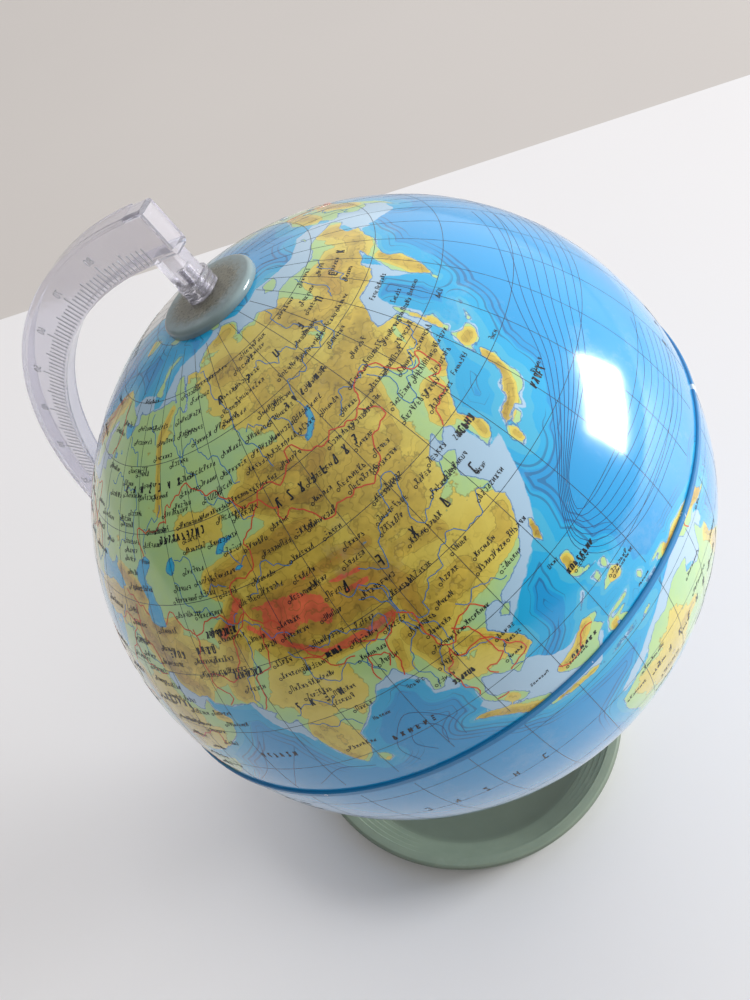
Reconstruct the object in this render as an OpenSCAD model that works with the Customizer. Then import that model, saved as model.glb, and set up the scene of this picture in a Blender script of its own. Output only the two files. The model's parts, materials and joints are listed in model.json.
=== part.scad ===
// Desktop globe on a round dished base, turning on a tilted axis inside a clear arm.
// Millimetres. Z is up, the origin is on the table under the middle of the base,
// and the arm stands in the XZ plane on the -X side.

/* [Globe] */
// Outside diameter of the globe
globe_d = 200; // [150:1:300]
// Wall of the two half shells
shell_t = 1.5; // [1:0.1:2.5]
// Tilt of the turning axis from upright, in degrees
tilt = 23.5; // [15:0.5:30]
// Width of the band over the joint at the equator
band_w = 2.2; // [1.6:0.1:5]
// How far the band stands out from the globe
band_proud = 0.8; // [0.5:0.1:2]
// Depth of the seat that the band sits in
band_seat = 0.4; // [0.2:0.1:0.6]
// Height of the ring that joins the shells inside
ring_h = 16; // [8:1:30]
// Thickness of the ring inside
ring_t = 1.2; // [0.8:0.1:2]

/* [Polar caps] */
// Diameter of each polar cap
cap_d = 30.6; // [26:0.2:36]
// How far a cap's edge stands up from the globe, below its roll
cap_edge = 1.2; // [1:0.1:2]
// Radius of the roll at a cap's edge
cap_roll = 1.4; // [1:0.1:1.8]
// Rise of a cap's crown inside its roll
cap_crown = 0.5; // [0.3:0.1:1]

/* [Pivots] */
// Diameter of the pivot pins
pin_d = 3; // [2.4:0.1:4]
// Length of a pin inside the globe
pin_inside = 7; // [5:0.5:12]
// Length of the ridged grip inside the arm
pin_grip = 9; // [5:0.5:11]
// Depth of the ridges on the grip
ridge = 0.25; // [0.1:0.05:0.4]
// Radial clearance of a pin in its bush
run_fit = 0.05; // [0.02:0.01:0.1]
// Diameter of a bush where it passes through the shell
bush_d = 8; // [6.5:0.5:10]
// Diameter of a bush's flange
bush_flange_d = 14; // [12:0.5:18]
// Thickness of a bush's flange
bush_flange_t = 1.5; // [1:0.1:2.5]

/* [Arm] */
// Gap between the globe and the arm
arm_gap = 16.3; // [12:0.1:22]
// Depth of the channel, measured outwards from the globe
arm_depth = 15.1; // [11:0.1:22]
// How far the bow of the arm is set out from the turning axis
arm_shift = 1.5; // [0:0.1:4]
// Width of the channel
arm_w = 6.6; // [6:0.1:10]
// Wall of the channel
arm_wall = 1.6; // [1.2:0.1:2.2]
// How far the closed ends run past the turning axis
arm_past = 5.3; // [4.5:0.1:7]
// Corner radius of the closed ends
arm_corner = 1.4; // [0.6:0.1:2]
// Width of the tongue that reaches in to a pole
tongue_w = 5.3; // [4.5:0.1:5.8]
// Reach of the tongue towards the arm, from the axis
tongue_back = 4.5; // [3:0.1:7]
// Reach of the tongue past the axis
tongue_front = 3.2; // [2.6:0.1:4]
// Width of the oval foot at a tongue's end
foot_w = 8.2; // [7.4:0.1:9]
// Length of the oval foot
foot_l = 11.2; // [10:0.1:15]
// Height of the oval foot
foot_h = 5; // [4:0.1:6]
// Depth of the grooves round the foot
groove = 0.5; // [0.2:0.1:0.8]
// Clearance between a foot and its cap
foot_fit = 0.3; // [0.3:0.1:0.6]

/* [Base] */
// Diameter of the dish at its rim
base_d = 143.8; // [130:0.2:190]
// Height of the dish
base_h = 14.5; // [12:0.5:20]
// Diameter of the flat floor of the dish
floor_d = 115.6; // [100:0.2:118]
// Height of the floor above the table
floor_z = 3.4; // [3:0.1:5]
// Steps between the floor and the rim
steps = 5; // [3:1:7]
// Width of the rolled rim
rim_w = 2.9; // [2:0.1:4]
// Wall of the dish
dish_wall = 2.2; // [1.8:0.1:2.6]
// How far the outer wall leans in towards the table
dish_lean = 3.6; // [2:0.1:5]
// Thickness of the felt under the floor
felt_t = 1.2; // [0.8:0.1:1.6]
// Diameter of the felt
felt_d = 112; // [80:1:114]

/* [Column] */
// Height of the column from the dish's floor to the arm
column_h = 43.1; // [38:0.1:80]
// Diameter of the column where it meets the floor
column_foot_d = 52; // [44:1:70]
// Diameter of the column at its top
column_top_d = 21; // [19:0.5:26]
// Wall of the column
column_wall = 2.2; // [1.6:0.1:2.4]
// Height of the cheeks beside the arm
cheek_h = 4; // [2:0.5:6]
// Clearance of the arm between the cheeks, each side
cheek_fit = 0.1; // [0.05:0.05:0.3]
// Diameter of the stem under the arm
stem_d = 9; // [8:0.5:10]
// Length of the stem under the arm
stem_l = 22; // [16:1:30]
// Radial clearance of the stem in the column
stem_fit = 0.1; // [0.05:0.05:0.3]

/* [Screw] */
// Diameter of the screw
screw_d = 4; // [3:0.5:5]
// Length of the screw held in the stem
screw_bite = 17; // [10:1:19]
// Diameter of the screw's head
head_d = 7.5; // [6.5:0.5:9]
// Height of the screw's head
head_h = 2.6; // [2:0.2:3]
// Diameter of the washer
washer_d = 11; // [9.5:0.5:14]
// Thickness of the washer
washer_t = 0.9; // [0.6:0.1:1.2]
// Radial clearance of the screw in its holes
screw_fit = 0.25; // [0.1:0.05:0.5]
// Diameter of the hub that covers the screw's head
hub_d = 28; // [24:1:32]
// Height of the hub above the table
hub_z = 12; // [10.5:0.5:14]

/* [Hidden] */
$fn = 96;
// Sides of a sphere where a thin piece lies on it
fine = 360;
tiny = 0.01;
globe_r = globe_d / 2;
arm_in = globe_r + arm_gap;
arm_out = arm_in + arm_depth;
arm_low = floor_z + column_h;
centre_z = arm_low + arm_out + arm_shift * sin(tilt);
band_r = globe_r - band_seat;
cap_r = cap_d / 2;
cap_top = dome(globe_r, cap_r) + cap_edge + cap_roll + cap_crown;
cap_hole_r = pin_d / 2 + 0.6;
foot_low = cap_top + foot_fit;
stem_low = arm_low - stem_l;
column_top = arm_low + cheek_h;
stem_bore_r = stem_d / 2 + stem_fit;
stem_tube_wall = 2;
screw_hole_r = screw_d / 2 + screw_fit;
hub_roof = hub_z - dish_wall;
flare_power = 2.4;
flare_steps = 14;
cavity_margin = 6;
seat_r = globe_r - shell_t;

// Height of a sphere's surface at a distance from its axis
function dome(r, at) = sqrt(r * r - at * at);

// Radius of the column's trumpet shape, from its foot (0) to its top (1)
function flare(s) = column_top_d / 2
    + (column_foot_d - column_top_d) / 2 * pow(1 - s, flare_power);

// Stands its children on the tilted axis, with the globe's centre as their origin
module on_axis() {
    translate([0, 0, centre_z])
        rotate([0, -tilt, 0])
            children();
}

module at_south() {
    mirror([0, 0, 1])
        children();
}

// An oval with straight sides: w across X, l along Y
module oval(w, l) {
    square([w, l - w], center = true);
    for (side = [-1, 1])
        translate([0, side * (l - w) / 2])
            circle(d = w);
}

module rounded(size, r) {
    square([size[0] - 2 * r, size[1]], center = true);
    square([size[0], size[1] - 2 * r], center = true);
    for (i = [-1, 1], j = [-1, 1])
        translate([i * (size[0] / 2 - r), j * (size[1] / 2 - r)])
            circle(r = r);
}

// ---- base ----

// One shallow step for each ring, from the floor out to the rim
function step_points() = [
    for (i = [0 : steps - 1])
        let (run = (base_d / 2 - rim_w - floor_d / 2) / steps,
            lift = (base_h - floor_z) / steps)
            each [
                [floor_d / 2 + i * run, floor_z + i * lift],
                [floor_d / 2 + (i + 0.25) * run, floor_z + (i + 1) * lift]
            ]
];

module base_dish() {
    rim_r = base_d / 2;
    foot_r = rim_r - dish_lean;
    inner_rim = rim_r - rim_w;
    hollow_r = floor_d / 2 + dish_wall;
    hollow_top = base_h - 2 * dish_wall;
    color("darkseagreen") rotate_extrude()
        polygon(concat(
            [
                [screw_hole_r, hub_roof],
                [screw_hole_r, hub_z],
                [hub_d / 2, hub_z],
                [hub_d / 2, floor_z]
            ],
            step_points(),
            [
                [inner_rim, base_h],
                [rim_r - rim_w * 0.45, base_h - 0.1],
                [rim_r - rim_w * 0.15, base_h - 0.5],
                [rim_r, base_h - 1.4],
                [rim_r - 0.15, base_h - 2],
                [foot_r, 0],
                [foot_r - dish_wall, 0],
                [rim_r - dish_lean * 0.3 - dish_wall, hollow_top],
                [hollow_r, felt_t],
                [hub_d / 2 - dish_wall, felt_t],
                [hub_d / 2 - dish_wall, hub_roof]
            ]
        ));
}

module felt_pad() {
    color("darkolivegreen")
        cylinder(d = felt_d, h = felt_t);
}

module column() {
    tall = column_top - floor_z;
    cavity_top = arm_low - cavity_margin;
    cavity_share = (cavity_top - floor_z) / tall;
    tube_r = stem_bore_r + stem_tube_wall;
    color("darkseagreen") difference() {
        rotate_extrude()
            polygon(concat(
                [[0, floor_z]],
                [for (i = [0 : flare_steps])
                    [flare(i / flare_steps), floor_z + tall * i / flare_steps]],
                [[0, column_top]]
            ));
        // The hollow between the outer skin and the screw's tube
        rotate_extrude()
            polygon(concat(
                [[tube_r, floor_z - tiny]],
                [for (i = [0 : flare_steps])
                    let (s = cavity_share * i / flare_steps)
                        [max(flare(s) - column_wall, tube_r + tiny),
                            floor_z + tall * s - (i == 0 ? tiny : 0)]],
                [[tube_r, cavity_top]]
            ));
        // The hub of the dish stands inside the column's foot
        translate([0, 0, floor_z - tiny])
            cylinder(d = hub_d, h = hub_z - floor_z + tiny);
        translate([0, 0, stem_low])
            cylinder(r = stem_bore_r, h = column_top);
        cylinder(r = screw_hole_r, h = stem_low + tiny);
        // The slot for the arm, and the saddle that it rests on
        on_axis() translate([-arm_shift, 0, 0])
            rotate([90, 0, 0])
                cylinder(r = arm_out, h = arm_w + 2 * cheek_fit, center = true);
    }
}

module base_screw() {
    under = hub_roof - washer_t;
    color("lightsteelblue") difference() {
        union() {
            translate([0, 0, under - head_h])
                cylinder(d = head_d, h = head_h);
            translate([0, 0, under])
                cylinder(d = screw_d, h = stem_low + screw_bite - under);
        }
        // A cross recess in the head
        for (turn = [0, 90])
            rotate([0, 0, turn])
                translate([-head_d * 0.3, -0.5, under - head_h - tiny])
                    cube([head_d * 0.6, 1, head_h * 0.55]);
    }
}

module base_washer() {
    color("silver") translate([0, 0, hub_roof - washer_t])
        difference() {
            cylinder(d = washer_d, h = washer_t);
            translate([0, 0, -tiny])
                cylinder(r = screw_hole_r, h = washer_t + 2 * tiny);
        }
}

// ---- arm ----

// The channel's section: X is the distance from the globe's centre, and the
// closed side is at +Y
module channel_section() {
    half = arm_w / 2;
    polygon([
        [arm_in, -half],
        [arm_in + arm_wall, -half],
        [arm_in + arm_wall, half - arm_wall],
        [arm_out - arm_wall, half - arm_wall],
        [arm_out - arm_wall, -half],
        [arm_out, -half],
        [arm_out, half],
        [arm_in, half]
    ]);
}

module arm_end() {
    mid = (arm_in + arm_out) / 2;
    inside = arm_depth - 2 * arm_wall;
    // The straight end of the channel, closed past the axis
    translate([-arm_shift, 0, mid]) difference() {
        rotate([90, 0, 90])
            linear_extrude(arm_shift + arm_past)
                rounded([arm_w, arm_depth], arm_corner);
        translate([-tiny, arm_wall - arm_w / 2, -inside / 2])
            cube([arm_shift + arm_past - arm_wall + tiny, arm_w, inside]);
    }
    // The tongue, down to the foot
    translate([-tongue_back, -tongue_w / 2, foot_low + foot_h / 2])
        cube([tongue_back + tongue_front, tongue_w,
            arm_in + arm_wall / 2 - foot_low - foot_h / 2]);
    // The foot: full ovals, with a groove above each of the lower two
    layer = foot_h / 5;
    for (i = [0 : 4])
        translate([0, 0, foot_low + i * layer])
            linear_extrude(layer)
                oval(foot_w - (i % 2) * 2 * groove, foot_l - (i % 2) * 2 * groove);
}

module meridian_arm() {
    pin_top = foot_low + pin_grip;
    color("lavender", 0.4) difference() {
        union() {
            on_axis() {
                translate([-arm_shift, 0, 0])
                    rotate([90, 0, 0])
                        rotate([0, 0, 90])
                            rotate_extrude(angle = 180)
                                channel_section();
                arm_end();
                at_south()
                    arm_end();
            }
            // The stem that plugs into the column
            translate([0, 0, stem_low])
                cylinder(d = stem_d, h = stem_l + arm_wall / 2);
        }
        on_axis() {
            cylinder(d = pin_d, h = pin_top);
            at_south()
                cylinder(d = pin_d, h = pin_top);
        }
        translate([0, 0, stem_low - tiny])
            cylinder(d = screw_d, h = screw_bite + tiny);
    }
}

// ---- pivots ----

module pin() {
    low = globe_r - pin_inside;
    grip_low = foot_low + 0.4;
    grip_top = foot_low + pin_grip;
    rings = 9;
    pitch = (grip_top - grip_low) / rings;
    rotate_extrude()
        polygon(concat(
            [
                [0, low],
                [pin_d / 2 - 0.4, low],
                [pin_d / 2, low + 0.6]
            ],
            [for (i = [0 : rings - 1], j = [0, 1])
                [pin_d / 2 - j * ridge, grip_low + (i + j / 2) * pitch]],
            [
                [pin_d / 2 - ridge, grip_top],
                [0, grip_top]
            ]
        ));
}

module north_pin() {
    color("gainsboro") on_axis()
        pin();
}

module south_pin() {
    color("gainsboro") on_axis()
        at_south()
            pin();
}

module bush() {
    flange_top = dome(seat_r, bush_flange_d / 2);
    top = dome(globe_r, bush_d / 2);
    difference() {
        union() {
            translate([0, 0, globe_r - pin_inside])
                cylinder(d = bush_d, h = top - globe_r + pin_inside);
            translate([0, 0, flange_top - bush_flange_t])
                cylinder(d = bush_flange_d, h = bush_flange_t);
        }
        translate([0, 0, globe_r - pin_inside - tiny])
            cylinder(r = pin_d / 2 + run_fit, h = pin_inside + 2 * tiny);
    }
}

module north_bush() {
    color("whitesmoke") on_axis()
        bush();
}

module south_bush() {
    color("whitesmoke") on_axis()
        at_south()
            bush();
}

// ---- globe ----

module half_shell() {
    difference() {
        sphere(r = globe_r);
        sphere(r = seat_r);
        translate([-globe_d, -globe_d, -2 * globe_d])
            cube(2 * globe_d);
        // The seat for the band
        difference() {
            translate([0, 0, -tiny])
                cylinder(r = globe_r + 1, h = band_w / 2 + tiny);
            translate([0, 0, -2 * tiny])
                cylinder(r = band_r, h = band_w);
        }
        // The hole at the pole
        cylinder(d = bush_d, h = globe_d);
    }
}

module north_hemisphere() {
    color("skyblue") on_axis()
        half_shell();
}

module south_hemisphere() {
    color("skyblue") on_axis()
        at_south()
            half_shell();
}

module joint_ring() {
    color("ivory") on_axis()
        intersection() {
            difference() {
                sphere(r = seat_r);
                sphere(r = seat_r - ring_t);
            }
            cube([globe_d, globe_d, ring_h], center = true);
        }
}

module equator_band() {
    out = globe_r + band_proud;
    bevel = band_proud * 0.4;
    half = band_w / 2;
    color("royalblue") on_axis()
        rotate_extrude()
            polygon([
                [band_r, -half],
                [out - bevel, -half],
                [out, -half + bevel],
                [out, half - bevel],
                [out - bevel, half],
                [band_r, half]
            ]);
}

// A low crown that follows the globe and rolls over at its edge
module cap() {
    edge = dome(globe_r, cap_r);
    shoulder_r = cap_r - cap_roll;
    roll_z = edge + cap_edge;
    crown_r = (pow(shoulder_r, 2) + pow(cap_crown, 2)) / (2 * cap_crown);
    roll_steps = 6;
    crown_steps = 8;
    difference() {
        rotate_extrude()
            polygon(concat(
                [
                    [cap_hole_r, edge - 1],
                    [cap_r, edge - 1]
                ],
                [for (i = [0 : roll_steps])
                    let (a = 90 * i / roll_steps)
                        [shoulder_r + cap_roll * cos(a), roll_z + cap_roll * sin(a)]],
                [for (i = [1 : crown_steps])
                    let (at = shoulder_r + (cap_hole_r - shoulder_r) * i / crown_steps)
                        [at, cap_top - crown_r + dome(crown_r, at)]]
            ));
        sphere(r = globe_r, $fn = fine);
    }
}

module north_cap() {
    color("darkseagreen") on_axis()
        cap();
}

module south_cap() {
    color("darkseagreen") on_axis()
        at_south()
            cap();
}

base_dish();
felt_pad();
column();
base_screw();
base_washer();
meridian_arm();
north_pin();
south_pin();
north_hemisphere();
south_hemisphere();
joint_ring();
equator_band();
north_cap();
south_cap();
north_bush();
south_bush();
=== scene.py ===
"""Desktop globe on a round dished base: the printed map, the clear arm and the finishes."""
import bpy
import json
import math
import numpy as np
from mathutils import Matrix


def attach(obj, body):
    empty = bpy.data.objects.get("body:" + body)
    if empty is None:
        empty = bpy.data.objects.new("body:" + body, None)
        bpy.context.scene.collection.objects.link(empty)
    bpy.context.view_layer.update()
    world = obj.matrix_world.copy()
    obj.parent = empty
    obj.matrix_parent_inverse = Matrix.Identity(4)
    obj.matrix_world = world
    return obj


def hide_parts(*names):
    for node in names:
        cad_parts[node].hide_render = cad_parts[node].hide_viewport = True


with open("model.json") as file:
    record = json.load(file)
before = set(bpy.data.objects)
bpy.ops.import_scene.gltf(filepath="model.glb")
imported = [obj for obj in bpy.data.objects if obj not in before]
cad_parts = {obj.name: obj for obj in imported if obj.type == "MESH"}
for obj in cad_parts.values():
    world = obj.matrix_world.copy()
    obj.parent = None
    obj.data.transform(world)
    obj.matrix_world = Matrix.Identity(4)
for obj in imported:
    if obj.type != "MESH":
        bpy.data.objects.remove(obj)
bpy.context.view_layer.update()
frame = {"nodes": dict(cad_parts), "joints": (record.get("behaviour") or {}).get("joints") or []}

# ---- where things are, in metres ----

SPIN = frame["joints"][0]
CENTRE = np.array(SPIN["pos_m"], float)
NORTH = np.array(SPIN["axis"], float)
NORTH /= np.linalg.norm(NORTH)
ASIDE = np.array([0.0, -1.0, 0.0])
TO_ARM = np.cross(ASIDE, NORTH)
AXES = np.stack([TO_ARM, ASIDE, NORTH], 1)

GLOBE_R = 0.1
SHELL = 0.0015
BAND_R, BAND_HALF = 0.0996, 0.0011
POLE_HOLE = 0.004
ARM_IN, ARM_SHIFT, ARM_W = 0.1163, 0.0015, 0.0066
ARM_LONGITUDE = -30.7
# How far the lettering stands out of the shell, and how far it goes in
INK = 5e-5
# The angle between faces, in radians, from which an edge is shaded sharp
SHARP = 0.6

rng = np.random.default_rng(23)


# ---- meshes ----

def add_object(name, data):
    """An object round a mesh, a lamp or a camera, in the scene."""
    made = bpy.data.objects.new(name, data)
    bpy.context.scene.collection.objects.link(made)
    return made


def new_mesh(name, points, faces, body, materials, face_material=None):
    """A piece from arrays of points and faces, riding on a body. Edges turned past SHARP stay sharp."""
    mesh = bpy.data.meshes.new(name)
    mesh.from_pydata(points.reshape(-1, 3).tolist(), [], faces.tolist())
    for finish in materials:
        mesh.materials.append(finish)
    if face_material is not None:
        mesh.polygons.foreach_set("material_index", face_material.astype(np.int32))
    mesh.polygons.foreach_set("use_smooth", np.ones(len(mesh.polygons), bool))
    mesh.set_sharp_from_angle(angle=SHARP)
    mesh.update()
    piece = add_object(name, mesh)
    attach(piece, body)
    return piece


def grid_faces(rows, cols, closed_rows=False):
    """Four-cornered faces over a grid whose rows are closed rings, and whose last row may meet its first."""
    r = np.arange(rows if closed_rows else rows - 1)[:, None]
    c = np.arange(cols)[None, :]
    r2, c2 = (r + 1) % rows, (c + 1) % cols
    return np.stack([r * cols + c, r * cols + c2, r2 * cols + c2, r2 * cols + c], -1).reshape(-1, 4)


# The six sides of a box whose corners are numbered round one end and then round the other
BOX = np.array([[0, 1, 2, 3], [7, 6, 5, 4], [0, 4, 5, 1], [1, 5, 6, 2], [2, 6, 7, 3], [3, 7, 4, 0]])


def repeated(faces, corners, count):
    """The same faces for each of a number of like parts, which have that many corners each."""
    return (faces[None] + corners * np.arange(count)[:, None, None]).reshape(-1, 4)


def places(text):
    """Pairs of numbers in a string, as rows of longitude and latitude."""
    return np.array(text.split(), float).reshape(-1, 2)


# ---- how the map lies on the shells ----

def stretch(lat):
    """The moulded sheet is squeezed near the equator: latitude less a hump that peaks 18 degrees out."""
    at = lat / 18
    return lat - 4.5 * at * np.exp(0.5 * (1 - at * at))


def turn(x, y, z):
    """Rotation by three small angles in degrees, about the vector that they make."""
    v = np.radians([x, y, z])
    angle = np.linalg.norm(v)
    k = np.array([[0, -v[2], v[1]], [v[2], 0, -v[0]], [-v[1], v[0], 0]]) / angle
    return np.eye(3) + math.sin(angle) * k + (1 - math.cos(angle)) * k @ k


arm_way = math.radians(ARM_LONGITUDE)
FACING = np.array([[math.cos(arm_way), math.sin(arm_way), 0],
                   [-math.sin(arm_way), math.cos(arm_way), 0], [0, 0, 1]])
# From the map's own directions to the row frame, with the sheet's small misfit on the shells
PRINT = AXES @ FACING @ turn(2.4, 1.7, -0.5)


def on_map(lon, lat):
    """Unit vectors in the row frame from the globe's centre to places on the printed map: the cosines of
    longitude and squeezed latitude, turned to the map's own way round."""
    lon, lat = np.radians(lon), np.radians(stretch(lat))
    way = np.stack([np.cos(lat) * np.cos(lon), np.cos(lat) * np.sin(lon), np.sin(lat)], -1)
    return way @ PRINT.T


def map_place(points):
    """The map's longitude and latitude at points of the row frame: the stretch undone by looking it up."""
    d = (points - CENTRE) @ PRINT
    d /= np.linalg.norm(d, axis=-1, keepdims=True)
    lat = np.degrees(np.arcsin(np.clip(d[..., 2], -1, 1)))
    known = np.linspace(-90, 90, 721)
    return np.degrees(np.arctan2(d[..., 1], d[..., 0])), np.interp(lat, stretch(known), known)


# ---- the map: listed places, longitude and latitude in degrees ----

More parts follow.
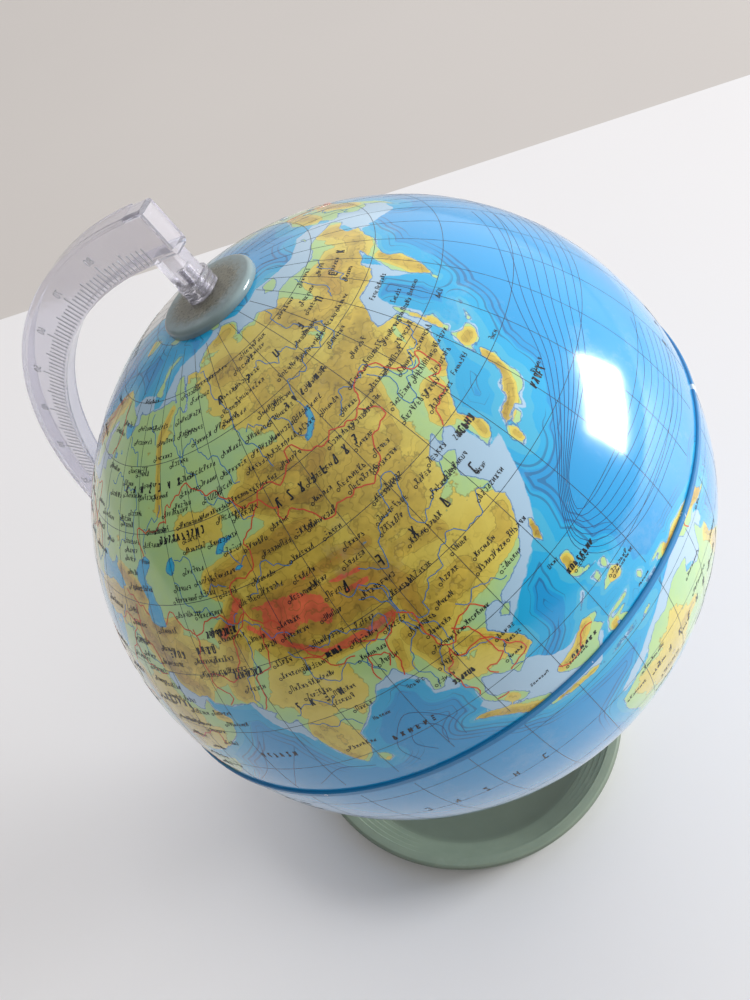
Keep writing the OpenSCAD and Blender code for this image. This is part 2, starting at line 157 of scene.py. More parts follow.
LAND = {
    "eurasia": """32.5 30 34.2 31.3 35 32.8 35.8 34.6 36.1 36.8 34 36.3 32.3 36.1 30.6 36.9 29 36.5 27.4 37 26.3 38.5
      26.2 39.5 26.8 40.3 28.9 41 26 40.7 24 40.8 22.9 40.4 23.3 39.2 24 38 23.1 36.5 21.7 36.9 21.1 38.3 19.5 40.2
      19.4 41.8 16.5 43.4 14 45 12.4 45.3 12.5 44.1 14.2 42.4 16.1 41.6 18.4 40.1 16.9 40.4 16.6 38.5 15.7 38 15.7 40
      14 40.9 12.2 41.8 10.3 43.3 8.8 44.4 7 43.5 4.8 43.4 3.1 42.8 3.2 41.8 0.7 40.8 -0.3 39.5 0.1 38.7 -0.8 37.6
      -2.2 36.8 -5.6 36.1 -6.4 36.9 -8.9 37 -9.4 38.7 -8.8 41.5 -9.2 43.1 -5.5 43.6 -1.8 43.4 -1.2 46.1 -2.7 47.5 -4.6
      48.2 -3.2 48.8 -1.5 48.7 -1.8 49.7 0.2 49.6 1.6 50.8 3.8 51.5 4.8 53 7 53.4 8.6 53.9 8.2 57 10.5 57.6 10.4 56.3
      9.8 55 11 54 13.5 54.3 16.5 54.4 18.7 54.6 21 55.3 21.1 57 21.8 57.6 23.6 57 24.4 57.9 23.6 58.8 25.5 59.5 29.8
      59.9 27.5 60.5 24.5 60 22.5 60.1 21.3 61.2 21.4 62.8 24.5 64.8 25.3 65.3 23.8 65.8 21.6 64.8 19 63.2 17.3 61.6
      17.2 60.6 18.8 59.8 16.7 58.5 16.4 56.8 14.5 55.9 12.9 55.5 12 57.5 10.9 59.2 9.5 58.9 7 58 5.4 58.9 5 61.2 7.5
      63.2 10.5 64.5 13.5 66.8 16.5 68.5 20 70 25 71 30.5 70.3 34 69.3 40.5 67.5 40 66.2 35 66.4 33 66.8 34.8 64.5
      37.5 63.9 40 64.6 41.5 66.3 44 66.3 43.5 68.5 46.5 67.9 50 68.3 54 68.4 60.5 69 65.5 69.3 68 68.5 67 70.5 69
      72.8 72.5 72.8 72 71 73.5 68.5 72 66.5 73.5 66.9 74.5 68.6 74 70.5 75 72.5 80.5 72.5 82 71.8 83 73.5 87 74.8 93
      76 99 76.3 104.5 77.6 112 76.5 113.5 75.5 109.5 74 107 73.2 113.5 73.5 119 73 124 73.5 128.5 72 130 71 133 71.5
      140 72.5 149 72 152.5 70.9 160 69.6 167 69.5 170.5 70 176 69.8 180 69 184.5 67.5 190.2 66.1 187.5 64.6 182 65.3
      180.5 64.8 177.5 64.7 179.5 62.5 174 61.7 170.5 60 166 59.8 163.3 59 162 57.8 163 56.2 161.8 55 160 53.2 158.3
      52 156.7 51 155.6 53.5 155.7 56.5 157.5 58 160.5 60 163.5 61.7 164.5 62.4 160.5 61.7 157 61.6 154.8 59.7 151.5
      59.1 148.5 59.4 143 59.3 138.5 57 135.5 54.8 138.5 53.8 141.2 53.2 140.8 51 140.3 48.5 138 46.3 135.5 44.3 132.5
      43.1 130.8 42.3 129.7 41.3 127.6 39.8 128.4 38.5 129.4 37 129.3 35.4 127.5 34.7 126.4 34.5 126.6 36.5 126.5 37.6
      124.8 38.1 125.2 39.4 124.2 40 121.6 38.9 122 40.6 120.8 40.4 119.2 39.3 117.8 39.1 118.8 37.6 120.8 37.8 122.5
      37.3 120.5 36.1 119.3 35 120.6 33.5 121.8 31.8 121.3 30.5 122 29.5 121.5 28.2 119.8 26 118.2 24.5 116.6 23.1
      114.2 22.4 111.8 21.7 110.4 21.2 110.3 20.3 109.7 21.4 108.2 21.6 106.7 20.4 105.7 18.8 107.5 16.5 109 14.5
      109.3 12 107.2 10.5 105 8.7 104.8 10.3 103.3 10.8 102.3 12.2 100.9 12.8 100.3 13.5 99.9 11.8 99.3 9.3 100.4 7.2
      102.2 6.2 103.4 4 104.2 1.4 103.4 1.4 101.3 2.9 100.3 5.4 98.7 7.8 98.5 10 98.7 12.5 97.7 15 97 17.1 95.4 15.8
      94.3 16.2 94.5 18.5 92.6 20.8 91.6 22.6 89.5 21.8 87.5 21.6 86.6 20.1 84.8 19.2 82.3 16.8 80.3 15.5 80.2 13 79.8
      10.8 78.8 9.2 77.6 8.1 76.3 9.8 74.9 13 73.5 16.2 72.8 19 72.7 21.2 70.8 20.8 69 22.2 70 22.9 68 23.8 66.6 25.3
      61.8 25.1 58 25.6 57 26.9 54.5 26.6 51.5 27.9 50.2 30 48.5 30 48.2 29 49.8 26.8 50.8 24.8 51.2 26 51.6 24.9 54
      24.1 56.1 26.1 56.6 24.4 59.7 22.5 57.8 19.5 55.3 17.6 52.2 15.6 48.5 14 45 12.8 43.3 12.8 42.7 15.5 41 18 39.1
      21.3 37.2 24.5 35.2 28 34.9 29.4 34.2 27.8 32.7 29.8""",
    "africa": """32.5 30 33.6 27.5 35.5 24 37.2 21 37.3 19 39.5 15.5 42.8 12.5 43.3 11.5 45 10.5 51.2 11.9 50.8 9.3 48
      4.5 45 1.8 41.5 -1.8 39.2 -4.7 39 -7 40.6 -11 40.6 -15 36.9 -17.9 34.8 -20 35.5 -23.9 32.8 -25.9 32.2 -28.8 30
      -31.3 27 -33.6 22 -34.2 18.5 -34.1 18 -31.5 15.5 -27.5 14.4 -22.5 11.8 -17.5 13.6 -12.3 12.3 -6 9.5 -2.5 9.4 1
      9.7 4 8.3 4.6 5 5.9 1.5 6.2 -4.5 5.2 -7.7 4.4 -11.5 6.8 -13.3 9 -16.5 12.4 -17.4 14.7 -16.2 18 -17 21 -14.8 25.5
      -12.8 28 -9.8 30 -9.3 32.5 -6 35.7 -2.2 35.2 3 36.8 9.8 37.3 11 36.5 10.2 34.2 15.2 32.3 19 30.3 20.5 32.7 25
      31.6 29.5 30.9 32.3 31.2""",
    "australia": """142.5 -10.8 143.8 -14.5 145.4 -15 146.2 -18.9 149.7 -22.3 153.1 -25.5 153.5 -28.8 151.8 -32.9 150
      -37.2 146.3 -39 143.5 -38.8 140 -37.5 138.2 -35.2 137.8 -33 135.9 -34.9 134 -32.7 131.2 -31.5 126 -32.3 123.6
      -33.9 120 -33.9 118 -35 115.1 -34.3 115.8 -31.8 113.5 -26.5 113.7 -22.5 117 -20.7 121.5 -19 122.3 -17 125.5
      -14.3 128.3 -14.9 130.8 -12.4 132.7 -11.4 136.9 -12.2 135.5 -15 139.5 -17.5 141.2 -16.5 141.7 -12.7""",
    "north_america": """-168 65.6 -163 67 -166.5 68.3 -163 69.5 -156.5 71.3 -150 70.5 -141 69.6 -134 69.5 -128 70.2
      -120 69.8 -115 68.3 -108 68 -102 67.8 -95.5 68.2 -95 71.8 -91 69.5 -86 68.5 -82 69 -81.5 67 -87 64.8 -93.5 61
      -94.6 58.8 -92.3 57 -85 55.3 -82.3 52.8 -80 51.3 -78.9 54 -77 57.2 -78 60.5 -77.5 62.3 -72 61.5 -69.5 59 -65 60
      -61.5 56.8 -56 52.5 -60 50.2 -66.5 50.2 -70.5 47.2 -64.5 49 -65 47 -61.3 45.8 -66 43.6 -65 45.3 -70 43.7 -70.7
      41.8 -74 40.6 -75.8 37 -76 34.9 -81.2 31.5 -80.1 26.8 -80.5 25.2 -81.9 26.5 -82.8 28.8 -84.5 30 -89.5 30 -91.5
      29.4 -94.8 29.4 -97.3 27.5 -97.8 22.5 -96 19 -94.4 18.1 -91.5 18.6 -90.4 21 -87.2 21.4 -88 18.4 -88.6 15.9 -83.4
      15 -83.7 11 -81.5 8.9 -79.5 9.5 -77.3 8.6 -78.2 7.6 -80.5 7.4 -83 8.3 -85.8 10.2 -87.7 12.8 -92.3 14.6 -95 16.2
      -99.5 16.7 -105.5 20.2 -105.8 22.7 -109.2 26 -112.5 29.8 -114.7 31.7 -111.5 26 -109.5 23.1 -112.2 25.5 -114.8
      28.5 -117.2 32.8 -120.6 34.6 -123.8 39 -124.3 42 -124 46.2 -123 48.8 -127 50.8 -130.3 54.8 -134 58 -139.5 59.8
      -146 60.9 -151.5 59.3 -154 58.5 -158.5 56 -164.5 54.7 -161.5 56 -157.5 58.7 -162 59 -165.5 61.5 -161 64 -166
      64.5""",
    "south_america": """-77.3 8.6 -75.3 10.8 -71.7 12.3 -68 11.5 -62 10.6 -60 8.5 -57 6 -51.5 4.3 -50 0.5 -44 -2.6
      -38.5 -3.8 -35.2 -5.5 -35 -9 -38.9 -13 -39.2 -17.8 -41 -22 -44.8 -23.3 -48.6 -26 -52.2 -32.2 -54 -34.7 -58.3 -34
      -57 -36.5 -62 -39 -65 -41 -65.3 -44.8 -67.5 -46 -65.8 -47.8 -69 -51 -68.4 -53 -65.3 -54.7 -70 -55.2 -74.5 -51
      -75.5 -46.8 -73.2 -42 -73.5 -37.2 -71.5 -30 -70.3 -18.5 -76.2 -13.8 -79.8 -7 -81.3 -4.5 -80 -2.5 -80 0.8 -77.2
      3.8""",
    "greenland": """-44 60 -51 64 -53.5 68 -54 71 -60 75.8 -68 76.2 -72 78.3 -62 81.5 -35 83.4 -20 81.5 -19 76.5 -22
      72 -25 69.5 -35 66 -41 63""",
    "honshu": """130.9 34 132.5 35.5 135.5 35.6 136.8 37.2 138.5 37.2 139.7 38.8 140 40.6 141.4 41.4 142 39.6 141 38.2
      140.8 36 139.8 35 138.8 34.7 137 34.6 135.8 33.5 135.2 34.6 132.5 34.2""",
    "kyushu": "129.8 33 131 33.9 132 33 131.3 31.4 130.3 31.2",
    "shikoku": "132.2 33.6 134.5 34.2 134.2 33.3 132.9 32.8",
    "hokkaido": "140 41.5 140.4 43.3 141.7 45.4 143 44.5 145.3 44.3 145.6 43.3 143.2 42 141 42.5",
    "sakhalin": "142 46 142.1 49 142.3 53.4 143 54.3 143.4 52.5 143.2 49.5 144.7 48.8 142.8 47 143.5 46.2",
    "kuril_south": "146.6 44.3 148.8 45.5 148.3 45 146.8 44",
    "kuril_mid": "149.6 45.9 150.6 46.3 150.2 45.7",
    "kuril_north": "155.3 50.2 156 50.8 155.9 50.2",
    "taiwan": "121.6 25.2 122 24.9 121.2 22.8 120.8 22 120.1 23.2 120.9 24.8",
    "hainan": "108.7 19.3 110.4 20.1 111 19.6 109.6 18.2",
    "luzon": """120.6 18.5 122.2 18.4 122.3 16.8 121.6 15.5 122.2 14.2 124 13 122 13.5 120.9 13.7 120.3 14.6 120 16
      120.4 17""",
    "mindanao": "122 7 123.4 8.6 125.4 9.7 126.4 8 126 6.4 125.4 5.8 124 6.8",
    "panay": "121.9 11.8 123.2 11.5 123 10 122.4 9.6 122.2 10.8",
    "samar": "124.3 12.5 125.5 12.2 125.3 10.4 124.8 10.2 124.4 11.2",
    "palawan": "117.2 8.4 119.3 10.6 119.5 11.3 118.6 10",
    "borneo": """109 1.5 109.7 2 111.3 2.5 113 3.2 115 5 116.8 6.9 119.2 5.2 117.7 3.5 119 1 117.5 0 116.5 -1.5 116
      -3.8 114.5 -4 111.8 -3.3 110.1 -1.5 109.1 0.2""",
    "sumatra": "95.3 5.6 97.5 5.2 100.3 2.7 103.5 0 106 -3 105.7 -5.8 104.5 -5.7 102.3 -4 100.4 -1 98.7 1.7",
    "java": "105.3 -6.8 106.2 -6 108.6 -6.7 110.5 -6.6 112.6 -6.9 114.5 -7.8 114.4 -8.7 110.5 -8.2 108 -7.8",
    "sulawesi": """119.8 0.5 121 1.2 124.8 1.6 124 0.4 120.3 0.4 120.2 -0.9 121.5 -0.9 123.3 -0.8 121.6 -1.9 122.8 -4
      121.5 -4.8 121 -2.8 120.4 -3 120.4 -5.6 119.4 -5.4 119.5 -3.4 118.8 -2.7""",
    "flores": "115 -8.2 119 -8.2 122.9 -8.1 122.9 -8.9 119.8 -8.9 115 -8.8",
    "timor": "123.6 -10.2 125 -8.7 127.2 -8.4 125.6 -9.5",
    "halmahera": "127.5 1 128 2 128.6 0.5 127.9 -0.8",
    "seram": "128 -3.1 130.8 -3.1 130.5 -3.9 128.2 -3.6",
    "new_guinea": """131 -0.8 134.2 -0.9 135 -3.2 137.8 -1.6 141 -2.6 145 -4.3 147.8 -6.2 147.2 -7.5 150.6 -10.5 147
      -9.5 144 -7.7 142 -9.1 138.8 -8.3 138 -6.5 135 -4.4 132.7 -3.9 132 -2.8 133.6 -2.3 131.5 -1.5""",
    "new_britain": "148.5 -5.6 151.5 -4.9 152.2 -4.3 151.6 -5.9 149.6 -6.3",
    "tasmania": "144.8 -40.8 148.2 -40.9 147.8 -43.2 146 -43.4",
    "zealand_north": "172.8 -34.5 175.5 -36.8 178.4 -37.8 176.9 -39.8 175.2 -41.5 173.9 -39.3 174.6 -37.5",
    "zealand_south": "172.7 -40.6 174.2 -41.7 172.8 -43.7 170.6 -45.9 168.4 -46.6 166.6 -45.8 170 -43",
    "ceylon": "79.9 9.6 81.2 8.6 81.8 7 80.6 6 79.8 7.5",
    "novaya_zemlya": "51.8 71.3 55.5 73.2 58 75.5 65 77 68.5 76.8 60 75.3 57.3 73 57.5 70.7 54 70.8",
    "severnaya_zemlya": "96 79 100 81 105 79.5 103 78 99 78.2",
    "new_siberian": "138 74.8 143 76 150 75.2 147 74 140 73.6",
    "wrangel": "178.8 71 181.5 71.5 182 71 179.5 70.8",
    "svalbard": "11 79.5 17 80 25 80.2 22 78 17 76.7 13.5 78",
    "franz_josef": "47 80.3 55 81.3 63 81 58 80 50 80",
    "britain": """-5.5 50.1 -3.5 51.4 -5 51.8 -4.5 53.3 -3 54 -5 54.8 -5.8 56.5 -5 58.5 -3.2 58.5 -2 57.5 -3 56 -1.5
      55 0.2 53.2 1.7 52.6 1.3 51.2 -1.5 50.7 -3.5 50.3""",
    "ireland": "-10 51.6 -9.8 53.5 -8.2 55.1 -6 55 -6.2 52.3",
    "iceland": "-24 65.5 -22 66.4 -16 66.5 -13.7 65 -18.5 63.4 -22.5 63.9",
    "madagascar": "43.3 -22.5 44.3 -16.5 47.5 -15 49.4 -12.2 50.4 -15.8 47.3 -24.8 44.8 -25.4",
    "cuba": "-84.8 21.9 -82 23.1 -77 21.8 -74.2 20.2 -77.6 19.9 -78.4 21.3",
    "haiti": "-74.4 18.5 -72.5 19.9 -68.4 18.7 -71.5 17.8",
    "sicily": "12.5 37.9 15.5 38.2 15.1 36.7",
    "sardinia": "8.3 40.9 9.7 40.8 9.4 39.1 8.4 39",
    "corsica": "8.7 42.8 9.5 42.9 9.2 41.4",
    "crete": "23.6 35.5 26.2 35.2 24.5 34.9",
    "cyprus": "32.4 35 34.4 35.6 33.6 34.7",
    "baffin": "-62 66.5 -68 70 -78 72.8 -88 73.5 -89.5 70.8 -78 69.8 -73 67.5 -73 64.5 -66 62.2 -65.5 64.5",
    "victoria_land": "-117 71.5 -105 73 -101.5 69.5 -114 69.2 -118.5 71.5",
    "ellesmere": "-77 76.8 -90 76.5 -92 81 -65 83 -62 82.3 -76 79",
    "banks": "-125 72 -123 74.3 -117 73.5 -121 71.3",
    "newfoundland": "-59.3 47.8 -57 51 -55.8 51.4 -53.2 48.5 -53 46.7",
}

WATER = {
    "black_sea": """28 41.9 28.7 43.8 30.5 46 32.5 46.1 33 45.2 35 44.6 37 45 38 46.8 38.4 45.6 37.5 44.7 39.8 43.3
      41.6 42 39 41 35 42 31.5 41.3 29.2 41.2""",
    "caspian": """47 44.6 49 46.2 51.5 46.9 53 46.2 52.9 45.3 51 44.5 50.4 43.5 52.3 42.3 52.6 40.6 53.7 39.8 53.9 37
      51.5 36.7 49.2 37.6 48.9 39.3 50.2 40.4 48.6 41.9 47.5 43.2""",
    "aral": "58.2 44.5 59 46 61 46.7 61.5 45.5 60 43.8",
    "baikal": "103.8 51.4 105.5 51.4 108.6 53 110.1 55.6 109 55.6 106.8 53.5 104.3 52",
    "balkhash": "73.4 45.2 75 46.8 79.2 46.8 77 46.1 74.5 44.9",
    "issyk_kul": "76.3 42.3 77.5 42.8 78.4 42.5 77.3 42.1",
    "ladoga": "30.8 60 33 60.8 31 61.7 30 61",
    "onega": "34.8 61.2 36.2 61 35.2 62.6",
    "lop_nor": "99.6 36.6 100.4 37.2 100.9 36.8",
    "superior": "-92 46.7 -88 48.6 -84.7 46.6 -88 46.8",
    "michigan": "-87.6 41.7 -86.3 42 -85 45.8 -87.8 44.5",
    "huron": "-84.5 46 -82.5 43.2 -80.2 44.7",
    "erie": "-83.2 41.6 -79 42.9 -80.5 42",
    "great_bear": "-124 65.2 -120 66.8 -118 65.8",
    "great_slave": "-117 61 -109.5 62.6 -112.5 61.3",
    "winnipeg": "-97 50.6 -99 53.5 -97 53",
    "victoria": "31.8 0.3 34.1 0.2 33.5 -2.5 31.8 -2.3",
    "tanganyika": "29.2 -3.5 29.8 -3.6 31.1 -8.6 30.4 -8",
    "nyasa": "34 -9.6 34.6 -9.8 35.2 -14 34.5 -13.5",
}

# Shallow seas, printed paler than the deep ones
SHELF = {
    "east_china": """117 41.5 122.5 41.5 126 39 126.5 34 129.5 34.5 127.5 31.5 125.5 28.5 121.5 24.5 117 21.5 108 16.5
      105 20 112 24 120 30 118 36""",
    "sunda": """99 14 103 14 108.5 9 110 6 113 4.5 116 6 117 3 118 -1 116.5 -4 115.5 -7.5 108 -6.5 104 -3 102 0 98.5
      3.5 97.5 8 100 9""",
    "okhotsk": "135 58 140 61 150 61 158 63 156.5 57 155 54 152 57.5 145 57 143.5 54.5 144.5 50.5 141 48.5 137 53",
    "siberian": """66 68 72 75.5 95 77.5 104 79 118 77 140 77 165 73.5 185 72 194 69 190 62.5 180 60.5 178 63 190 66
      170 68 150 69.5 130 69.5 105 71 80 66""",
    "kara": "56 68 60 70.5 68 75 80 76 90 76 85 72 70 65",
    "barents": "36 69 44 71 52 71 52 68 40 66",
    "sahul": """125 -13 129 -10 135 -5.5 142 -7.5 145 -10.5 145.5 -14 142 -12 141 -18 134 -12 128 -15.5 122 -17.5 115
      -21 114 -20""",
    "north_sea": "-11 50 -8 59 -2 61.5 5 60 8 57 9 53 2 50 -3 47 -2 43.5 -6 46",
    "baltic": "10 53.5 12 57.5 16 60 18 64 25 66.5 26 61 31 60 24 56 18 53.5",
    "bengal": "86 21 89 20.5 92 20.5 94 18.5 93.5 15.5 97.5 14 98.5 16.5 92 24 87 22.5",
    "gujarat": "66 25.5 66.5 23 69 20 71.5 18.5 73 15.5 73.5 20 72 23",
    "gulf": "47.5 30.5 50 30.5 56.5 27.3 56 25.3 53 23.5 49 26",
    "grand_banks": "-66 43 -60 43.5 -50 43 -50 47.5 -56 53.5 -62 58 -60 50 -65 48 -70 42 -68 41",
    "florida": "-98 25.5 -94 28 -88 29 -84 27.5 -82.5 24.5 -79 26 -80.5 31 -90 31",
    "yucatan": "-93 19 -91.5 23 -87 23 -88 20",
    "patagonia": "-56 -35 -58 -40 -60 -47 -61 -53 -68 -56 -70 -50 -66 -40 -60 -35",
    "guinea": "-53 5 -47 2.5 -43 0 -50 -1 -55 3",
    "bering": "-180 62 -178 60 -168 55.5 -160 56 -158 59 -165 66 -172 67",
    "hudson": "-96 65 -80 66 -76 62 -78 50 -97 56",
}

# Heights: share of the tallest, reach to each side in degrees, then the ridge line
HEIGHTS = [
    (0.86, 3.4, "80 33 86 33.5 92 33.5 97 33.3"), (1.2, 3.1, "79.5 34.6 84 34.6 87 33.8"),
    (1.12, 0.6, "92 35.5 97 35"), (1.12, 0.5, "93 33.5 98 33.4"),
    (1.12, 0.8, "74 35 79 31.5 85 28.6 92 28.2 97 28.5"), (0.93, 0.9, "76 37 82 36 88 37.5 95 37.5 101 37"),
    (1.15, 0.9, "68 35 71 36.5 74 38.5"), (0.86, 1.4, "70 41.8 76 42 82 43 88 43.5 94 43"),
    (0.8, 1.7, "85 50 89 48.5 94 46.5 99 45"), (0.72, 2.2, "90 52 96 51 100 48 104 49"),
    (0.52, 5, "98 45.5 105 43 112 45"), (0.56, 4, "108 53 115 54.5 122 56 130 56 136 58"),
    (0.66, 2.2, "127 70 129 66 133 63.5 140 62.5 147 64 150 66 160 65"),
    (0.6, 2, "150 61.5 158 63.5 165 63 172 63.5 180 66"), (0.65, 1, "157.5 52.5 159.5 55.5 162 58.5"),
    (0.44, 5, "97 67 100 62 108 62 112 66 116 61"), (0.62, 2.2, "93 69 98 69"), (0.45, 1.2, "96 75 105 75.5"),
    (0.55, 1.2, "134 44.5 137 48 139 51"), (0.5, 1.5, "131 50 134 53.5"), (0.55, 1.5, "117 43 119.5 47 122 51"),
    (0.6, 1.4, "126 41 129 43.5"), (0.45, 0.7, "127.5 40 128.7 37.5 128 35.8"),
    (0.5, 4.2, "103 38 109 37.5 112.5 39 115 42"), (0.62, 1.2, "103 34 107 33.5 111 32.5"),
    (0.84, 1.9, "100 33 101 30 100 27.5"), (0.6, 2.8, "101 25.5 105 26 109 26.5"),
    (0.4, 1.8, "111 25 114.5 26 117.5 27 119.5 28.5"), (0.5, 1.2, "102 20 104.5 18.5 107 15.5 108.3 13"),
    (0.3, 2.4, "100 16 103.5 15.5"), (0.55, 1.4, "97 25 98 21.5 98.7 18"), (0.5, 0.8, "93.5 22 94.5 25"),
    (0.4, 0.6, "101.7 5 102.3 3.5"), (0.38, 2.4, "76 18 77.5 15 77.5 12"), (0.33, 3.2, "74.5 26 78 24 83 23.5"),
    (0.36, 4, "104.5 30.5 109 30 113 29.5"), (0.5, 0.6, "73.8 18 75 14 76.8 10"),
    (0.35, 1.5, "75 22.5 80 22.5 84 22.8"), (0.36, 0.8, "73 24.5 75 27"), (0.66, 1.7, "66 27.5 67.5 30.5 70 33"),
    (0.6, 3, "53 33 57 32 60 31"), (0.78, 1.5, "46 36 49.5 33 53 29.5 57 28"), (0.75, 0.9, "48.5 37.5 52 36 57 37"),
    (0.85, 0.9, "40 43.8 44 42.8 48 41.2"), (0.6, 2.2, "30 38.8 35 39 40 39.5 43.5 39"),
    (0.6, 1.6, "36.5 27 40 21.5 44 15.5"), (0.4, 4, "43 24 48 19"), (0.5, 0.8, "57 23.3 58.5 22.8"),
    (0.42, 0.45, "66 68 59.5 64 59 58 58.5 53"), (0.37, 2.6, "67 48.5 73 49"), (0.44, 4, "80 39.5 88 41 95 41"),
    (0.55, 1.7, "7 60.5 12 63 16 66.5 21 69"), (0.8, 1, "6 44.8 8 46.3 13 47"),
    (0.5, 0.9, "19 49.2 24 48 25.5 45.5 22.5 45.2"), (0.5, 1.4, "17 44 20 42.5 22 39.5"),
    (0.4, 0.7, "9 44.4 13 42.7 16 40"), (0.6, 0.7, "-1 42.8 2.5 42.4"), (0.45, 2.2, "-5 40.5 -2.5 40.5"),
    (0.65, 1.3, "-8.5 31 -4 33 3 35 8 35.5"), (0.5, 2, "6 23 8 20"), (0.55, 1.8, "17 21 19 20"),
    (0.85, 2.5, "38 13 38 9.5 39.5 7"), (0.62, 2.4, "36.5 2 35.5 -3 34 -9"), (0.7, 1.2, "30 1.5 29 -3 30 -8"),
    (0.48, 4, "16 -12 22 -12 27 -15 26 -24 23 -29"), (0.75, 1.2, "29.3 -29 27 -31.5 30 -25"),
    (0.55, 1.5, "15.5 -19 17 -24"), (0.5, 1.2, "10 6 13 7.5"), (0.45, 1.5, "24 13 25 14"),
    (0.3, 6, "0 24 15 25 28 24"), (0.5, 1.1, "46.7 -23 47.5 -17"),
    (0.85, 2.3, "-106 35 -107 40 -111 44.5 -115 49.5 -122 55 -128 60"),
    (0.7, 1.2, "-119 36.5 -121.5 41 -121.5 46 -124 51 -130 56 -138 60"), (0.55, 3, "-115 40 -112 36"),
    (0.75, 1.4, "-142 61.5 -150 63 -155 61"), (0.6, 1.4, "-160 68 -145 68.5"),
    (0.7, 1.9, "-107 29 -104 24 -100 20 -97 17.5 -91 15.2"), (0.42, 1.2, "-84 35 -80 38.5 -75 42 -71 44.5"),
    (0.35, 3, "-68 54 -63 56"), (0.35, 4, "-102 36 -103 42 -108 48"),
    (0.95, 1.7, "-72 10 -75.5 5 -78 -1 -78 -7 -75 -12 -69.5 -16 -67.5 -22 -69 -28 -70 -34 -71 -40 -72.5 -47"),
    (1.0, 1.9, "-68 -16 -67 -21"), (0.48, 3.4, "-44 -20 -46 -15 -42 -10"), (0.5, 2, "-66 3.5 -61 5"),
    (0.35, 4, "-56 -14 -52 -14"), (0.48, 1.3, "145 -17 148 -23 151.5 -29 149 -35 147 -37"),
    (0.34, 4.2, "120 -24 128 -22 125 -28"), (0.45, 1.2, "130 -23.5 135 -23.5"),
    (0.85, 1.1, "135 -3.7 139 -4.3 144 -5.8 147.5 -8.5"), (0.5, 1.2, "110.5 0.8 114 2 116 5.2"),
    (0.6, 0.8, "96.5 4.5 99 2 101 -1 104 -4.5"), (0.55, 0.5, "107 -7 110.5 -7.4 113.5 -8"),
    (0.55, 0.6, "120.2 -2 119.9 -3.5"), (0.6, 0.7, "121 17.5 120.9 16"), (0.5, 0.8, "125 8 124.8 7"),
    (0.75, 0.5, "121.3 24.3 120.9 23"), (0.65, 0.7, "132 34.7 136 35.6 138 36.3 140 38.5 140.7 40.5"),
    (0.5, 0.8, "142 43.5 143.5 43.5"), (0.5, 0.5, "131 32.7 131 32"), (0.4, 0.6, "142.6 47.5 143 51"),
    (0.75, 0.8, "168 -45 171 -43 173 -41.8"), (0.5, 0.7, "175.7 -39.3 177.5 -38"), (0.4, 0.4, "80.7 7 80.8 6.8"),
]

